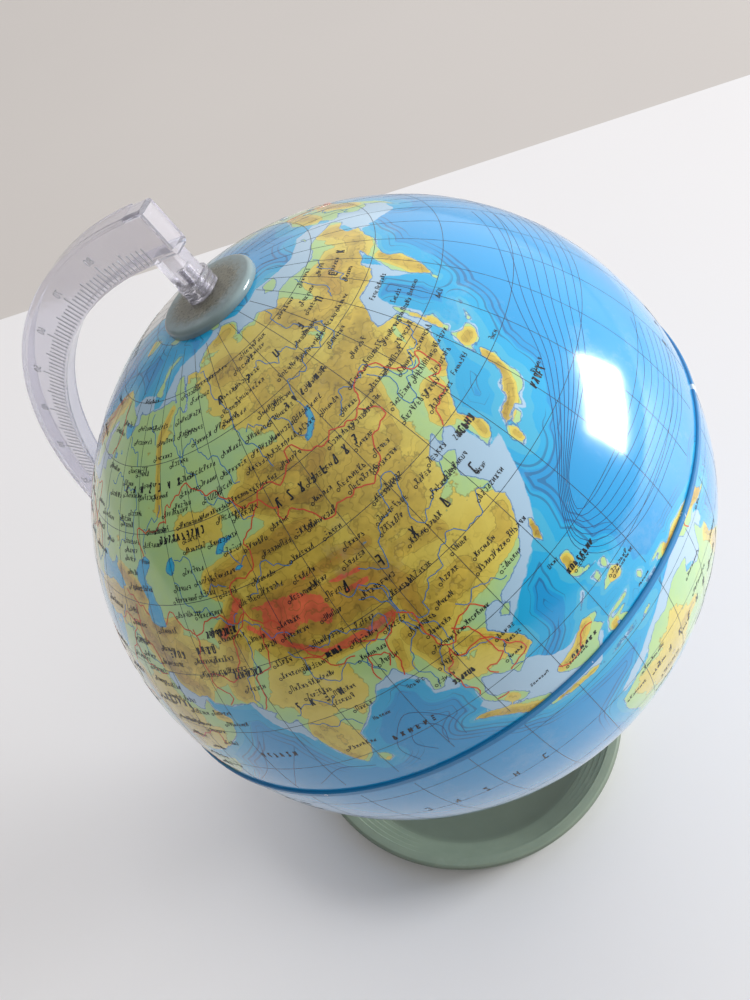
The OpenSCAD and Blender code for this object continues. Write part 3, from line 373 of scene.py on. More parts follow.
BORDERS = [
    "41.6 41.5 43.5 41.1 46.5 38.9 48.9 38.4",
    """53.9 37.3 57 38.2 61 36.5 64.5 36.3 67.8 37.2 71.5 37 74.5 37.3 73.8 39.5 77 41 80.2 42.2 80.3 45 82.5 45.3
      85.5 47.2 87.5 49.1""",
    "87.5 49.1 91 50.5 94.5 50 98 50.5 98.8 52 102 51.3 107 49.9 111.5 49.4 116.5 49.9",
    """87.7 49.1 91 47 90.8 45.2 95.5 44.2 97 42.8 101 42.6 105 41.7 109.5 42.5 112 43.7 115.5 45.4 119.5 46.6 118 48
      116.7 49.8""",
    "116.7 49.9 119.5 50.5 121 53.2 125.5 53 127.5 50 130.7 48 134.5 48.3 133 45 131 44.8 130.6 42.5",
    "130.5 42.5 128 42 124.4 40.1", "126.6 37.9 128.4 38.5",
    "108 21.6 105 23 102.2 22.4 101 21.5 99.2 22 98.5 24.5 98.6 27.5 97.3 28.3",
    "97.3 28.3 92 27.6 88.9 27.3 86 27.9 81.5 30.2 79 32 78.8 34.5 76 35.8 74.5 37.1", "80.3 29 84 27.5 88 26.4",
    "68.2 23.8 70 25.5 71 28 74.3 30.8 74.8 33 76.5 34.7",
    "61.6 25.2 63 27 61 29.7 66.4 29.7 69.5 32 71.3 35 74.5 37.2", "61 29.8 60.8 33.5 61.2 36.5",
    "44.5 39.6 44.8 37.2 45.6 34.5 48 30.5", "36 36.2 42.2 37.2 44.8 37.2",
    "48 29.5 46.5 29.1 42 31.2 39 32.2 36 29.3", "39 32.2 41.5 35 42.2 37.2", "43 16.6 48 18.3 52 19 53.2 16.7",
    "92.3 20.8 93.3 24 95 26.5 97.2 28.2", "89 21.9 88.7 24.5 89.8 26 92.2 25 91.5 23",
    "98.7 10.2 99.2 12.5 98.3 15 97.7 18 100 20.4", "100 20.4 101.2 17.6 104 18.2 105.5 14.4",
    "102.2 22.4 103.8 20 105.2 18.8 107.3 15.5 107.5 12.4 105 11 104.5 10.4", "105.5 14.4 102.4 13.6 102.9 11.7",
    "100.1 6.5 102 6.2", "109.7 2 110.5 0.9 114 1.4 115.8 4.2 117.6 4.1", "141 -2.6 141 -9.1",
    "51 46.8 50 50 56 51 61 51 62 54 70 55 77 53.5 80 51 87.5 49.1",
    "28.2 45.4 27 48 22.8 48.3 24 51 23.5 54 20 54.4", "27.8 60.6 31.5 62.8 29.5 67 28.5 69.6",
    "12 59 12.5 63 14.5 66 20.3 69", "14.2 53.8 15 51 19 50 22.7 49.2", "6 49.5 8 47.5 7 46 7.5 44",
    "9.7 47.5 13 47.3 16.5 47 22 48", "6 53.2 6.2 51 6 49.5", "-1.8 43.3 3 42.4", "-7 37.2 -7 41.8 -8.8 42",
    "25 31.7 25 22 37 22", "-8.7 27.7 3 19.5 12 23.5 9.5 30 10 33.5", "14 22.5 24 19.5 24 15.5 22 11",
    "24 5 30 3.5 35 4.5 41.5 4", "12 -6 17 -8 22 -11 24 -13 22 -17.5 12 -17.3", "20 -18 20 -28.5 17 -28.7",
    "26 -22 31.5 -22.3 32 -26", "3 12 9 13 14 13 13.5 7 9 4.5",
    "-123 49 -95 49 -88 48.3 -83 46 -82.5 42 -79 43.3 -75 45 -70.5 45.5 -67.5 47 -67 44.8",
    "-141 69.6 -141 60.3 -135 59.5 -130 55.5", "-117 32.5 -111 31.3 -106.5 31.8 -103 29 -99.5 27.5 -97.3 26",
    "-92.3 14.6 -91 17.5 -89 17.8",
    "-70 -4 -73.5 -7.5 -70.5 -11 -65 -11 -58 -17 -58 -20 -54.5 -25.5 -57.5 -30 -53.5 -33.7",
    "-60 5 -64 4 -67 2 -69.5 1 -70 -4 -75.5 0 -79 1", "-67 2 -70 6.5 -72.5 8.5 -71.5 11.7",
    "-70.3 -18.4 -69 -21 -67 -23 -70 -32 -71.5 -42 -72 -50",
]

RIVERS = [
    "85.5 52.5 83 54.9 79 58.5 75 60.8 69 61 65.8 63.5 68 66.5 72 66.8", "85.5 47.5 80.5 50.3 75 53.5 71 57.5 69 61",
    "94.5 51.7 92 56 90.5 60 87.8 65.5 86 69 82.5 71.8", "105 52 102 56 98 58 92.5 58.2",
    "107.5 54 108.5 58 114 60 120 60.8 129 62 126 65 124 67.5 127 72.5", "125 58.5 132 62.5 129 63.3",
    "149 62.5 154 66 161 69.3", "141.5 63.5 145 66 148.5 71", "105 66 113 64.5 121 63.7",
    "113 51 119.5 53 124 53 127.5 50 130.7 48 135 48.5 138 51 140.8 53",
    "124 52 125.5 48 124.5 45.5 129 46.5 132.5 47.8",
    "97 35 101.5 34 103.5 36 106 38 108 40.7 111 40.5 110.4 37 110.5 34.7 114.5 35 118.9 37.7",
    "92 34 97 32 99 28 101.5 26 104.6 28.7 108 30.5 111.5 30.5 114.3 30.6 117.5 31 121.5 31.8",
    "105 24.5 109.5 23.5 113.3 22.6", "95 33 98.5 29 100.5 23 101 19.5 104.5 17.5 105.8 14.5 106 11.5 106.5 10",
    "94 32 98 28 98.7 22 97.6 16.8", "97.5 27 96 23.5 95 20 95.2 16",
    "82.5 30.2 88 29.3 94 29.3 95.2 28 91 26.2 89.7 24.5 90.5 22.5", "78.5 30.5 80 27 83 25.4 87.5 25 90 23.6",
    "81 32 76 34.8 73 35 71 31 68.5 27 67.8 24", "74 19.8 79 18.7 81.8 16.8", "81 22.8 77 22.5 73 21.7",
    "73 37.2 68 37.2 63.5 39.5 60 43", "73 40.8 68 41 66 44.5 61.5 46", "77 38.5 81 40.8 88 40.2",
    "80 43.5 76 44.5 74.5 45.6", "33 57 40 57.8 46 56 49.5 54 46 49.5 47.5 46.2", "59 54 57 51.3 51.5 51 51.8 47.2",
    "39 53 43.5 49 39.5 47.2", "32 55 30.8 51 34.5 48.5 32.5 46.6",
    "8.5 48 16.5 48.2 19 46 20.5 45 26 43.8 29.3 45.2", "57 63 54 66 54.5 68", "48 60 45 62.5 41 64.5",
    "39 38.8 38.3 36.5 42 34 47.5 31", "32.5 0.5 31 5 32.5 15.5 33 19 31 21.5 33 26 31.2 30.5",
    "-10 9.5 -4 14 0 17 4 12 6.5 7 6.5 4.5", "27 -11 25.5 -2 22 2 18 0 15.5 -4 12.5 -6",
    "23 -13 25 -17.8 32 -16 36 -18.5", "28 -29 20 -28.7 16.5 -28.6", "-95 47 -91 41 -89.5 37 -91 32 -89.5 29.2",
    "-111 46 -101 47 -96 41 -90.5 38.8", "-115 61 -125 65 -134 68.8", "-76 44.3 -70 47",
    "-135 61.5 -145 66 -158 63.5 -163 62.3", "-106.5 36 -106 31.5 -99.5 27.5",
    "-74 -10 -73.5 -4.5 -66 -3 -60 -3.2 -54 -2.2 -50.5 -0.5", "-66 3 -67.5 6.5 -62 8.8",
    "-47 -19 -53 -22.5 -58.5 -27.5 -58.5 -34", "-45 -19 -43 -11 -38 -9 -36.5 -10.4", "149 -28 143 -33.5 139 -35.3",
]


def nearest(lon, lat, line, reach, closed):
    """Least distance in degrees from places to a line, by the foot of the perpendicular on each stretch,
    and for a closed line whether each place is inside it, by counting crossings. Only places within reach."""
    middle = (line[:, 0].min() + line[:, 0].max()) / 2
    lon = middle + (lon - middle + 180) % 360 - 180
    shrink = np.cos(np.radians(lat))
    near = ((lat > line[:, 1].min() - reach) & (lat < line[:, 1].max() + reach)
            & (lon > line[:, 0].min() - reach / np.maximum(shrink, 0.15))
            & (lon < line[:, 0].max() + reach / np.maximum(shrink, 0.15)))
    away = np.full(len(lon), float(reach))
    inside = np.zeros(len(lon), bool)
    x, y, s = lon[near], lat[near], shrink[near]
    best = np.full(len(x), float(reach) ** 2)
    within = np.zeros(len(x), bool)
    ends = np.roll(line, -1, 0) if closed else line[1:]
    for (ax, ay), (bx, by) in zip(line, ends):
        ux, uy, px, py = (bx - ax) * s, by - ay, (x - ax) * s, y - ay
        share = np.clip((px * ux + py * uy) / np.maximum(ux * ux + uy * uy, 1e-9), 0, 1)
        best = np.minimum(best, (px - share * ux) ** 2 + (py - share * uy) ** 2)
        if closed and ay != by:
            within ^= ((ay > y) != (by > y)) & (x < ax + (bx - ax) * (y - ay) / (by - ay))
    away[near] = np.sqrt(best)
    inside[near] = within
    return away, inside


def signed(lon, lat, outlines, reach):
    """Distance in degrees to the nearest outline, positive inside any of them."""
    field = np.full(len(lon), -float(reach))
    for outline in outlines:
        away, inside = nearest(lon, lat, places(outline), reach, True)
        field = np.maximum(field, np.where(inside, away, -away))
    return field


def relief(lon, lat):
    """Height from 0 to 1: the greatest of the ridges, each a bell across its line."""
    high = np.full(len(lon), 0.08)
    for top, spread, line in HEIGHTS:
        away, _ = nearest(lon, lat, places(line), 3 * spread, False)
        high = np.maximum(high, top * np.exp(-0.5 * (away / spread) ** 2))
    return high


def half_map(name, node, side, longitudes, rows):
    """A half shell: its section, from the band's seat over the outside to the pole's hole and back
    down the inside, turned round the axis at each longitude. The outside carries the map's values."""
    start = math.asin(BAND_HALF / GLOBE_R)
    end = math.acos(POLE_HOLE / GLOBE_R)
    out = np.linspace(start, end, rows)
    back = np.linspace(math.acos(POLE_HOLE / (GLOBE_R - SHELL)), 0, 12)
    radius = np.concatenate([[BAND_R, BAND_R], GLOBE_R * np.cos(out), (GLOBE_R - SHELL) * np.cos(back)])
    height = np.concatenate([[0, BAND_HALF], GLOBE_R * np.sin(out), (GLOBE_R - SHELL) * np.sin(back)]) * side
    lon = np.radians(longitudes)
    local = np.stack([radius[:, None] * np.cos(lon), radius[:, None] * np.sin(lon),
                      height[:, None] + 0 * lon], -1)
    points = local @ (AXES @ FACING).T + CENTRE
    faces = grid_faces(len(radius), len(lon), closed_rows=True)
    if side < 0:
        faces = faces[:, ::-1]
    row_of_face = np.arange(len(faces)) // len(lon)
    inner = (row_of_face < 2) | (row_of_face > rows)
    paints = [printed_map(name.replace("_", " ")), INNER]
    piece = new_mesh(name, points, faces, "globe", paints, inner)
    east, north = map_place(points.reshape(-1, 3))
    land = signed(east, north, LAND.values(), 6)
    land = np.maximum(land, np.minimum(6, -70 - north + 3 * np.sin(np.radians(3 * east))))
    water = signed(east, north, WATER.values(), 6)
    values = {
        "coast": np.minimum(land, -water),
        "shelf": np.where(water > -0.5, -1.0, np.maximum(signed(east, north, SHELF.values(), 6), land + 0.1)),
        "height": relief(east, north),
        "ice": np.maximum(signed(east, north, [LAND["greenland"]], 6), -68 - north),
    }
    for key, value in values.items():
        piece.data.attributes.new(key, "FLOAT", "POINT").data.foreach_set("value", value.astype(np.float32))
    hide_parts(node)


def smooth_line(line, step):
    """Points along a line, about a step apart in degrees: a Catmull-Rom curve through its places."""
    ends = np.concatenate([[2 * line[0] - line[1]], line, [2 * line[-1] - line[-2]]])
    made = []
    for a, b, c, d in zip(ends, ends[1:], ends[2:], ends[3:]):
        t = np.linspace(0, 1, max(2, int(np.hypot(*(c - b)) / step)), endpoint=False)[:, None]
        made.append(0.5 * (2 * b + (c - a) * t + (2 * a - 5 * b + 4 * c - d) * t ** 2
                           + (3 * b - a - 3 * c + d) * t ** 3))
    return np.concatenate(made + [line[-1:]])


def wander(line, size):
    """The small bends of a river or border: three sines along the line, across it."""
    along = np.linspace(0, 1, len(line)) * len(line)
    fade = np.minimum(1, np.minimum(np.arange(len(line)), np.arange(len(line))[::-1]) / 3)
    push = sum(np.sin(along * f + rng.uniform(0, 6.3)) / f for f in (0.35, 0.9, 1.9)) * size * fade
    way = np.gradient(line, axis=0)
    way /= np.maximum(np.linalg.norm(way, axis=1, keepdims=True), 1e-9)
    return line + np.stack([-way[:, 1], way[:, 0]], 1) * push[:, None]


def strips(name, lines, width, lift, finish):
    """Thin flat strips lying on the globe: each line's points moved half the width to either side along
    the surface, above it by the lift and again below it, with both ends closed."""
    points, faces, used = [], [], 0
    for d in lines:
        way = np.gradient(d, axis=0)
        across = np.cross(d, way)
        across /= np.maximum(np.linalg.norm(across, axis=1, keepdims=True), 1e-12)
        half = across * width / 2
        ring = np.stack([d * (GLOBE_R + lift) - half, d * (GLOBE_R - lift) - half,
                         d * (GLOBE_R - lift) + half, d * (GLOBE_R + lift) + half], 1)
        n = len(d)
        body = grid_faces(n, 4)
        caps = np.array([[3, 2, 1, 0], [4 * n - 4, 4 * n - 3, 4 * n - 2, 4 * n - 1]])
        points.append(ring.reshape(-1, 3))
        faces.append(np.concatenate([body, caps]) + used)
        used += 4 * n
    new_mesh(name, np.concatenate(points) + CENTRE, np.concatenate(faces), "globe", [finish])


def route(text, step, bends=0.0):
    """A line of places as directions from the globe's centre, smoothed, with small bends where asked."""
    line = smooth_line(places(text), step)
    if bends:
        line = wander(line, bends)
    return on_map(line[:, 0], line[:, 1])


# ---- finishes ----

def tint(*shares):
    """A colour from 0 to 255 as the eye sees it, made linear: a power of 2.2."""
    return (*((share / 255) ** 2.2 for share in shares), 1.0)


class Value:
    """A number that varies over a surface. Arithmetic on it adds Math nodes."""

    def __init__(self, paint, socket):
        self.paint, self.socket = paint, socket

    def math(self, operation, a, b=0.0):
        return self.paint.node("ShaderNodeMath", {"operation": operation}, {0: a, 1: b})

    def __add__(self, other):
        return self.math("ADD", self, other)

    __radd__ = __add__

    def __mul__(self, other):
        return self.math("MULTIPLY", self, other)

    __rmul__ = __mul__

    def __sub__(self, other):
        return self.math("SUBTRACT", self, other)

    def __rsub__(self, other):
        return self.math("SUBTRACT", other, self)

    def __abs__(self):
        return self.math("ABSOLUTE", self)

    def swing(self, size):
        """Up to that size and back again, over and over."""
        return self.math("PINGPONG", self, size)


class Paint:
    """One material: a Principled surface and the nodes that feed it."""

    def __init__(self, name, **fixed):
        self.material = bpy.data.materials.new(name)
        self.material.use_nodes = True
        self.tree = self.material.node_tree
        self.surface = next(n for n in self.tree.nodes if n.type == "BSDF_PRINCIPLED")
        for socket, value in fixed.items():
            self.surface.inputs[socket.replace("_", " ")].default_value = value

    def node(self, kind, settings, inputs, output=0):
        """Adds a node: its settings first, then a value or a link for each socket."""
        made = self.tree.nodes.new(kind)
        for key, value in settings.items():
            if key == "stops":
                ramp = made.color_ramp.elements
                while len(ramp) < len(value):
                    ramp.new(0.5)
                for stop, (at, colour) in zip(ramp, value):
                    stop.position, stop.color = at, colour
            else:
                setattr(made, key, value)
        for key, value in inputs.items():
            if isinstance(value, Value):
                self.tree.links.new(value.socket, made.inputs[key])
            else:
                made.inputs[key].default_value = value
        return Value(self, made.outputs[output])

    def place(self):
        """Where a point of the piece is, in metres."""
        return self.node("ShaderNodeTexCoord", {}, {}, "Object")

    def field(self, name):
        """One of the map's own values at the vertices."""
        return self.node("ShaderNodeAttribute", {"attribute_name": name}, {}, "Fac")

    def noise(self, scale, detail=2.0, rough=0.5, at=None):
        return self.node("ShaderNodeTexNoise", {}, {
            "Vector": at or self.place(), "Scale": scale, "Detail": detail, "Roughness": rough}, "Fac")

    def stray(self, size, *noise):
        """Noise to either side of zero, over that size from end to end."""
        return (self.noise(*noise) - 0.5) * size

    def step(self, value, low, high):
        """Smooth rise from 0 at low to 1 at high."""
        return self.node("ShaderNodeMapRange", {"interpolation_type": "SMOOTHSTEP"}, {
            "Value": value, "From Min": low, "From Max": high}, "Result")

    def ramp(self, value, stops):
        return self.node("ShaderNodeValToRGB", {"stops": stops}, {"Fac": value}, "Color")

    def mix(self, a, b, share):
        """From colour a to colour b by the share."""
        return self.node("ShaderNodeMix", {"data_type": "RGBA"}, {0: share, 6: a, 7: b}, 2)

    def vector(self, operation, a, b=(0, 0, 0), output="Vector"):
        """Arithmetic on two vectors, or with output Value the number that comes of it."""
        return self.node("ShaderNodeVectorMath", {"operation": operation}, {0: a, 1: b}, output)

    def shade(self, colour, factor):
        """A colour times a number."""
        return self.node("ShaderNodeVectorMath", {"operation": "SCALE"}, {0: colour, "Scale": factor})

    def bump(self, height, strength, distance):
        """A normal from a height: how strong, and how deep in metres."""
        return self.node("ShaderNodeBump", {}, {
            "Height": height, "Strength": strength, "Distance": distance}, "Normal")

    def feed(self, **values):
        """Links what varies to the surface and gives the finished material."""
        for socket, value in values.items():
            self.tree.links.new(value.socket, self.surface.inputs[socket.replace("_", " ")])
        return self.material


def printed_map(name):
    """Map tints from the vertices' distances and heights, roughened by noise, under gloss lacquer."""
    p = Paint(name, Coat_Weight=0.65, Coat_Roughness=0.18)
    ragged = p.stray(1.1, 420, 5, 0.6)
    coast = p.field("coast") + ragged
    land = p.step(coast, -0.06, 0.06)
    shore = 1 - p.step(abs(coast + 0.08), 0.02, 0.13)
    shallow = p.step(p.field("shelf") + p.stray(1.8, 130, 4, 0.6), -0.12, 0.12)
    away = p.field("coast") * -1 + p.stray(6, 30, 3, 0.5)
    sea = p.mix(tint(64, 178, 218), tint(20, 168, 222), p.step(away, 0.9, 1.1))
    sea = p.mix(sea, tint(0, 148, 214), p.step(away, 2.9, 3.1))
    # Depth curves: thin lines at every level of the distance from the coast
    curves = 1 - p.step(p.field("coast").swing(0.5) + p.stray(0.9, 60, 2, 0.4), 0.03, 0.08)
    curves = curves * p.step(away, 1.6, 2.2) * (1 - p.step(p.field("coast") * -1, 5.4, 5.6))
    sea = p.mix(sea, tint(30, 60, 112), curves * 0.55)
    sea = p.mix(sea, tint(176, 204, 226), shallow)
    # The sheet is faded a little in places
    sea = p.mix(sea, tint(62, 162, 202), p.noise(14, 3, 0.6) * 0.2)
    high = p.field("height")
    height = high + p.stray(0.75, 48, 5, 0.62) + p.stray(0.2, 190, 4, 0.6)
    ground = p.ramp(height, [
        (0.0, tint(168, 208, 148)), (0.19, tint(180, 214, 136)), (0.2, tint(220, 202, 92)),
        (0.4, tint(212, 190, 80)), (0.42, tint(202, 176, 72)), (0.66, tint(192, 164, 64)),
        (0.68, tint(184, 152, 60)), (1.0, tint(176, 138, 56))])
    snow = high + p.stray(0.9, 110, 5, 0.65)
    ground = p.mix(ground, tint(212, 96, 66), p.step(snow, 0.96, 0.98) * 0.92)
    # The fine line printed where one tint meets the next
    for level in (0.195, 0.41, 0.67):
        line = 1 - p.step(abs(height - level), 0.0, 0.012)
        ground = p.mix(ground, tint(104, 100, 52), line * 0.5)
    # Hill drawing: flowing lines along the levels of a noise, and its slope towards the light
    here = p.place()
    moved = p.vector("ADD", here, (0.0009, -0.0006, 0.0008))
    folds = p.noise(78, 4, 0.5, here)
    rugged = p.step(high, 0.2, 0.6)
    drawn = 1 - p.step((folds * 13).swing(0.5), 0.02, 0.13)
    ground = p.mix(ground, tint(112, 94, 40), drawn * rugged * 0.45)
    ground = p.shade(ground, 1 + (folds - p.noise(78, 4, 0.5, moved)) * rugged * 3.4)
    ground = p.mix(ground, tint(236, 240, 240), p.step(p.field("ice") + ragged, -0.1, 0.1))
    colour = p.mix(p.mix(sea, tint(50, 104, 160), shore * 0.75), ground, land)
    smudge = p.noise(60, 4, 0.6)
    scratches = 1 - p.step(abs(p.noise(240, 1, 0.4) - 0.5), 0.0, 0.006)
    dull = p.step(p.noise(22, 4, 0.65), 0.5, 0.72)
    colour = p.mix(colour, tint(206, 222, 230), p.step(p.noise(46, 6, 0.72), 0.56, 0.72) * 0.1)
    return p.feed(
        Base_Color=colour,
        Roughness=0.07 + smudge * 0.05 + scratches * 0.1 + dull * 0.05,
        Normal=p.bump(p.noise(90, 2, 0.5), 0.05, 0.0004))


def print_ink(name, colour):
    """Ink of one colour, worn to grey in specks."""
    p = Paint(name)
    worn = p.noise(600, 2, 0.5)
    return p.feed(Base_Color=p.mix(colour, tint(150, 160, 160), p.step(worn, 0.62, 0.8) * 0.4),
                  Roughness=0.07 + p.noise(80, 2) * 0.05)


def sage_plastic():
    """Sage green, with painted shade: darker on the dish's bottom inside the steps, which the globe and the column
    shade, and on the rim's outer rounding and wall, which face away from the light. Both changes are at distances in
    mm from
    the upright middle line: the length of the place with its height left out."""
    p = Paint("sage plastic")
    from_middle = p.vector("LENGTH", p.vector("MULTIPLY", p.place(), (1, 1, 0)), output="Value") * 1000
    # Masks for painted shade: the dish's floor, in the shade of the globe and the column, and the rim's outer
    # rounding and wall, turned away from the light
    floor_shade = 1 - p.step(from_middle, 55.5, 60.0)
    outside = p.step(from_middle, 71.0, 71.8)
    mottle = p.noise(90, 4, 0.6)
    grain = p.noise(2600, 2, 0.6)
    colour = p.mix(tint(134, 146, 128), tint(118, 131, 115), mottle)
    scuffs = p.step(p.noise(40, 5, 0.7), 0.6, 0.75)
    # Painted shade: the sage darkened on the dish's floor and on the rim's outer wall
    colour = p.shade(p.mix(colour, tint(156, 166, 150), scuffs * 0.3), 1.1 - floor_shade * 0.42 - outside * 0.35)
    return p.feed(Base_Color=colour,
                  Roughness=0.36 + mottle * 0.12 + scuffs * 0.1,
                  Normal=p.bump(grain, 0.12, 0.0001))


def cap_plastic():
    """Grained crown inside a smooth rolled rim. The rim is painted a lighter blue-grey, a painted reflection of the
    bright room, and the crown's darker tints are grain and painted shade: the change is at a distance from the
    globe's axis, which is the length of the cross product of the axis with the way from the globe's centre."""
    p = Paint("cap plastic")
    out = p.vector("SUBTRACT", p.place(), tuple(CENTRE))
    distance = p.vector("LENGTH", p.vector("CROSS_PRODUCT", out, tuple(NORTH)), output="Value")
    rim = p.step(distance * 1000 + p.stray(6, 700, 3, 0.7), 8.5, 14.2)
    grain = p.noise(1300, 3, 0.7)
    crown = p.mix(tint(88, 84, 70), tint(132, 128, 108), p.step(grain, 0.38, 0.62))
    crown = p.mix(crown, tint(108, 116, 112), p.noise(120, 3, 0.5) * 0.5)
    # Painted reflection: the rolled rim tinted lighter and bluer, as if it mirrored the bright room; the crown's
    # darker tints are grain and painted shade
    rim_reflection = p.mix(tint(122, 140, 142), tint(140, 158, 160), p.noise(200, 3, 0.5))
    return p.feed(Base_Color=p.mix(crown, rim_reflection, rim),
                  Roughness=(0.2 + grain * 0.2) * (1 - rim) + rim * 0.12,
                  Normal=p.bump(grain * (1 - rim), 0.35, 0.0002))


def clear_plastic():
    """Clear, very slightly violet, with a dull cloud here and there."""
    p = Paint("clear plastic", Transmission_Weight=0.84, IOR=1.49, Specular_IOR_Level=0.28)
    cloud = p.noise(70, 3, 0.6)
    return p.feed(Base_Color=p.mix(tint(250, 248, 255), tint(242, 240, 250), cloud),
                  Roughness=0.08 + p.step(p.noise(300, 4, 0.7), 0.55, 0.8) * 0.14,
                  Normal=p.bump(p.noise(160, 2, 0.5), 0.08, 0.0004))


def band_blue():
    """Blue, worn through in specks and at two places: each a ball about a point, cut off by its distance."""
    p = Paint("band blue")
    chips = p.step(p.noise(150, 4, 0.7), 0.66, 0.7)
    for at, reach in (((0.0833, 0.0433, 0.2147), 0.5), ((0.0879, 0.0304, 0.2167), 1.5)):
        away = p.vector("DISTANCE", p.place(), at, "Value")
        chips = chips + (1 - p.step(away * 1000 + p.noise(900, 2) * 0.6, reach + 0.3, reach + 0.5)) * (1 - chips)
    tone = p.noise(50, 3, 0.6)
    blue = p.mix(tint(24, 108, 168), tint(44, 136, 190), tone)
    return p.feed(Base_Color=p.mix(blue, tint(220, 230, 234), chips * 0.85),
                  Roughness=0.12 + chips * 0.35 + tone * 0.08,
                  Normal=p.bump(p.noise(500, 3, 0.6), 0.08, 0.0002))


def steel(name):
    """Bright metal with fine turning marks."""
    p = Paint(name, Metallic=1.0)
    turned = p.noise(1200, 2, 0.6)
    return p.feed(Base_Color=p.mix(tint(226, 226, 230), tint(196, 196, 202), turned),
                  Roughness=0.2 + turned * 0.15, Normal=p.bump(turned, 0.1, 0.0001))


def felt():
    """Dark green felt."""
    p = Paint("felt", Sheen_Weight=0.5)
    fibre = p.noise(2200, 4, 0.75)
    return p.feed(Base_Color=p.mix(tint(92, 112, 84), tint(62, 82, 58), fibre),
                  Roughness=0.88 + fibre * 0.1, Normal=p.bump(fibre, 0.6, 0.0004))


def inner_plastic():
    """Off-white plastic of the pieces inside the globe."""
    p = Paint("inner plastic")
    mottle = p.noise(120, 3, 0.6)
    return p.feed(Base_Color=p.mix(tint(226, 222, 212), tint(206, 202, 192), mottle),
                  Roughness=0.4 + mottle * 0.15, Normal=p.bump(p.noise(1800, 2), 0.1, 0.0001))


SAGE, CAP, CLEAR, BLUE = sage_plastic(), cap_plastic(), clear_plastic(), band_blue()
STEEL, ZINC, FELT, INNER = steel("pin steel"), steel("screw steel"), felt(), inner_plastic()
FINISH = {
    "base_dish": SAGE, "column": SAGE, "felt_pad": FELT, "base_screw": ZINC, "base_washer": ZINC,
    "meridian_arm": CLEAR, "north_pin": STEEL, "south_pin": STEEL, "joint_ring": INNER,
    "equator_band": BLUE, "north_cap": CAP, "south_cap": CAP, "north_bush": INNER, "south_bush": INNER,
}
for node, finish in FINISH.items():
    mesh = frame["nodes"][node].data
    mesh.materials.clear()
    mesh.materials.append(finish)


# ---- the map ----

def spaced(stops):
    """Longitudes at a spacing that changes from one stretch to the next: rows of from, to, spacing."""
    return np.concatenate([np.arange(a, b, s) for a, b, s in stops])


half_map("map_north", "north_hemisphere", 1, spaced([(35, 165, 0.43), (165, 395, 1.0)]), 156)
half_map("map_south", "south_hemisphere", -1, spaced([(90, 165, 0.6), (165, 450, 1.2)]), 120)

INKS = {"black": (38, 42, 46), "red": (206, 84, 60), "river": (56, 118, 178),
        "grey": (48, 62, 74), "violet": (44, 70, 116)}
BLACK, RED, RIVER_BLUE, GREY, VIOLET = [print_ink(name + " ink", tint(*colour)) for name, colour in INKS.items()]


def graticule():
    """Meridians and parallels ten degrees apart; every other meridian stops short of the pole."""
    lines = []
    for k, lon in enumerate(range(-180, 180, 10)):
        top = 80 if k % 2 else 86
        for a, b in ((0.8, top), (-0.8, -top)):
            lat = np.linspace(a, b, 48)
            lines.append(on_map(lon + 0 * lat, lat))
    for lat in (*range(10, 90, 10), *range(-80, 0, 10)):
        lon = np.linspace(-180, 180, 145)
        lines.append(on_map(lon, lat + 0 * lon))
    return lines


# How far up the globe the printed lines start and end, as shares of its radius
ABOVE_BAND, BELOW_CAP = 0.0175, 0.986


def off_band(lines):
    """Leaves out the points of a line that would lie under the band or the caps."""
    kept = []
    for d in lines:
        up = np.abs(d @ NORTH)
        fine = (up > ABOVE_BAND) & (up < BELOW_CAP)
        edges = np.flatnonzero(np.diff(np.concatenate([[0], fine.astype(int), [0]])))
        kept += [d[a:b] for a, b in zip(edges[::2], edges[1::2]) if b - a > 3]
    return kept


# Curves over the ocean
DRIFTS = [
    "60 2 64 10 68 16", "52 3 58 10 62 18", "66 3 72 8 78 6",
    "88 3 86 8 88 12 91 9 90 3", "84.5 2 83.5 9 88 15 93 10 93 3",
    "176 1 189 15 195 30 197 44 195 54", "186 1 198 15 205 30 208 44 206 54",
]
# A nest of eight curves, shared out evenly from the innermost to the outermost
NEST_IN = places("""196 31 165.5 31 150 28.4 137.6 26.4 130.5 24 127.8 20.7 130.5 19.6 137 19.4
    146.5 18.6 158 18.5 168 21""")
NEST_OUT = places("""188 43.7 159.2 40.3 145.1 33.7 134 27.9 127 23.4 123.5 17.8 126.9 11.8 135.1 8.5
    146.3 7.4 158.8 5.9 172 7""")
nested = [smooth_line(NEST_IN + share * (NEST_OUT - NEST_IN), 1.0) for share in np.linspace(0, 1, 8)]

# Each kind of printed line: its name, its lines, their width and their height above the shell, and the ink
for name, lines, width, lift, ink in (
        ("graticule", graticule(), 0.00015, 0.00003, GREY),
        ("borders", [route(text, 0.6, 0.25) for text in BORDERS], 0.00034, 0.00004, RED),
        ("rivers", [route(text, 0.5, 0.3) for text in RIVERS], 0.00022, 0.000035, RIVER_BLUE),
        ("ocean_curves", [route(text, 1.0) for text in DRIFTS] + [on_map(*line.T) for line in nested],
         0.00014, 0.00003, VIOLET)):
    strips(name, off_band(lines), width, lift, ink)

# ---- mock place names: pen strokes, not letters ----

# Where the seven strokes start and end in a letter one wide and one tall
STROKES = np.array([[0, 0, 0, 1], [0.55, 0, 0.55, 1], [0, 1, 0.55, 1], [0, 0.5, 0.5, 0.5], [0, 0, 0.55, 0],
                    [0, 0, 0.55, 1], [0, 1, 0.55, 0]])
# The share of low letters' height, of the letter pitch and of the slant, against a tall letter's height
LOW, PITCH, SLANT = 0.62, 0.72, 0.12


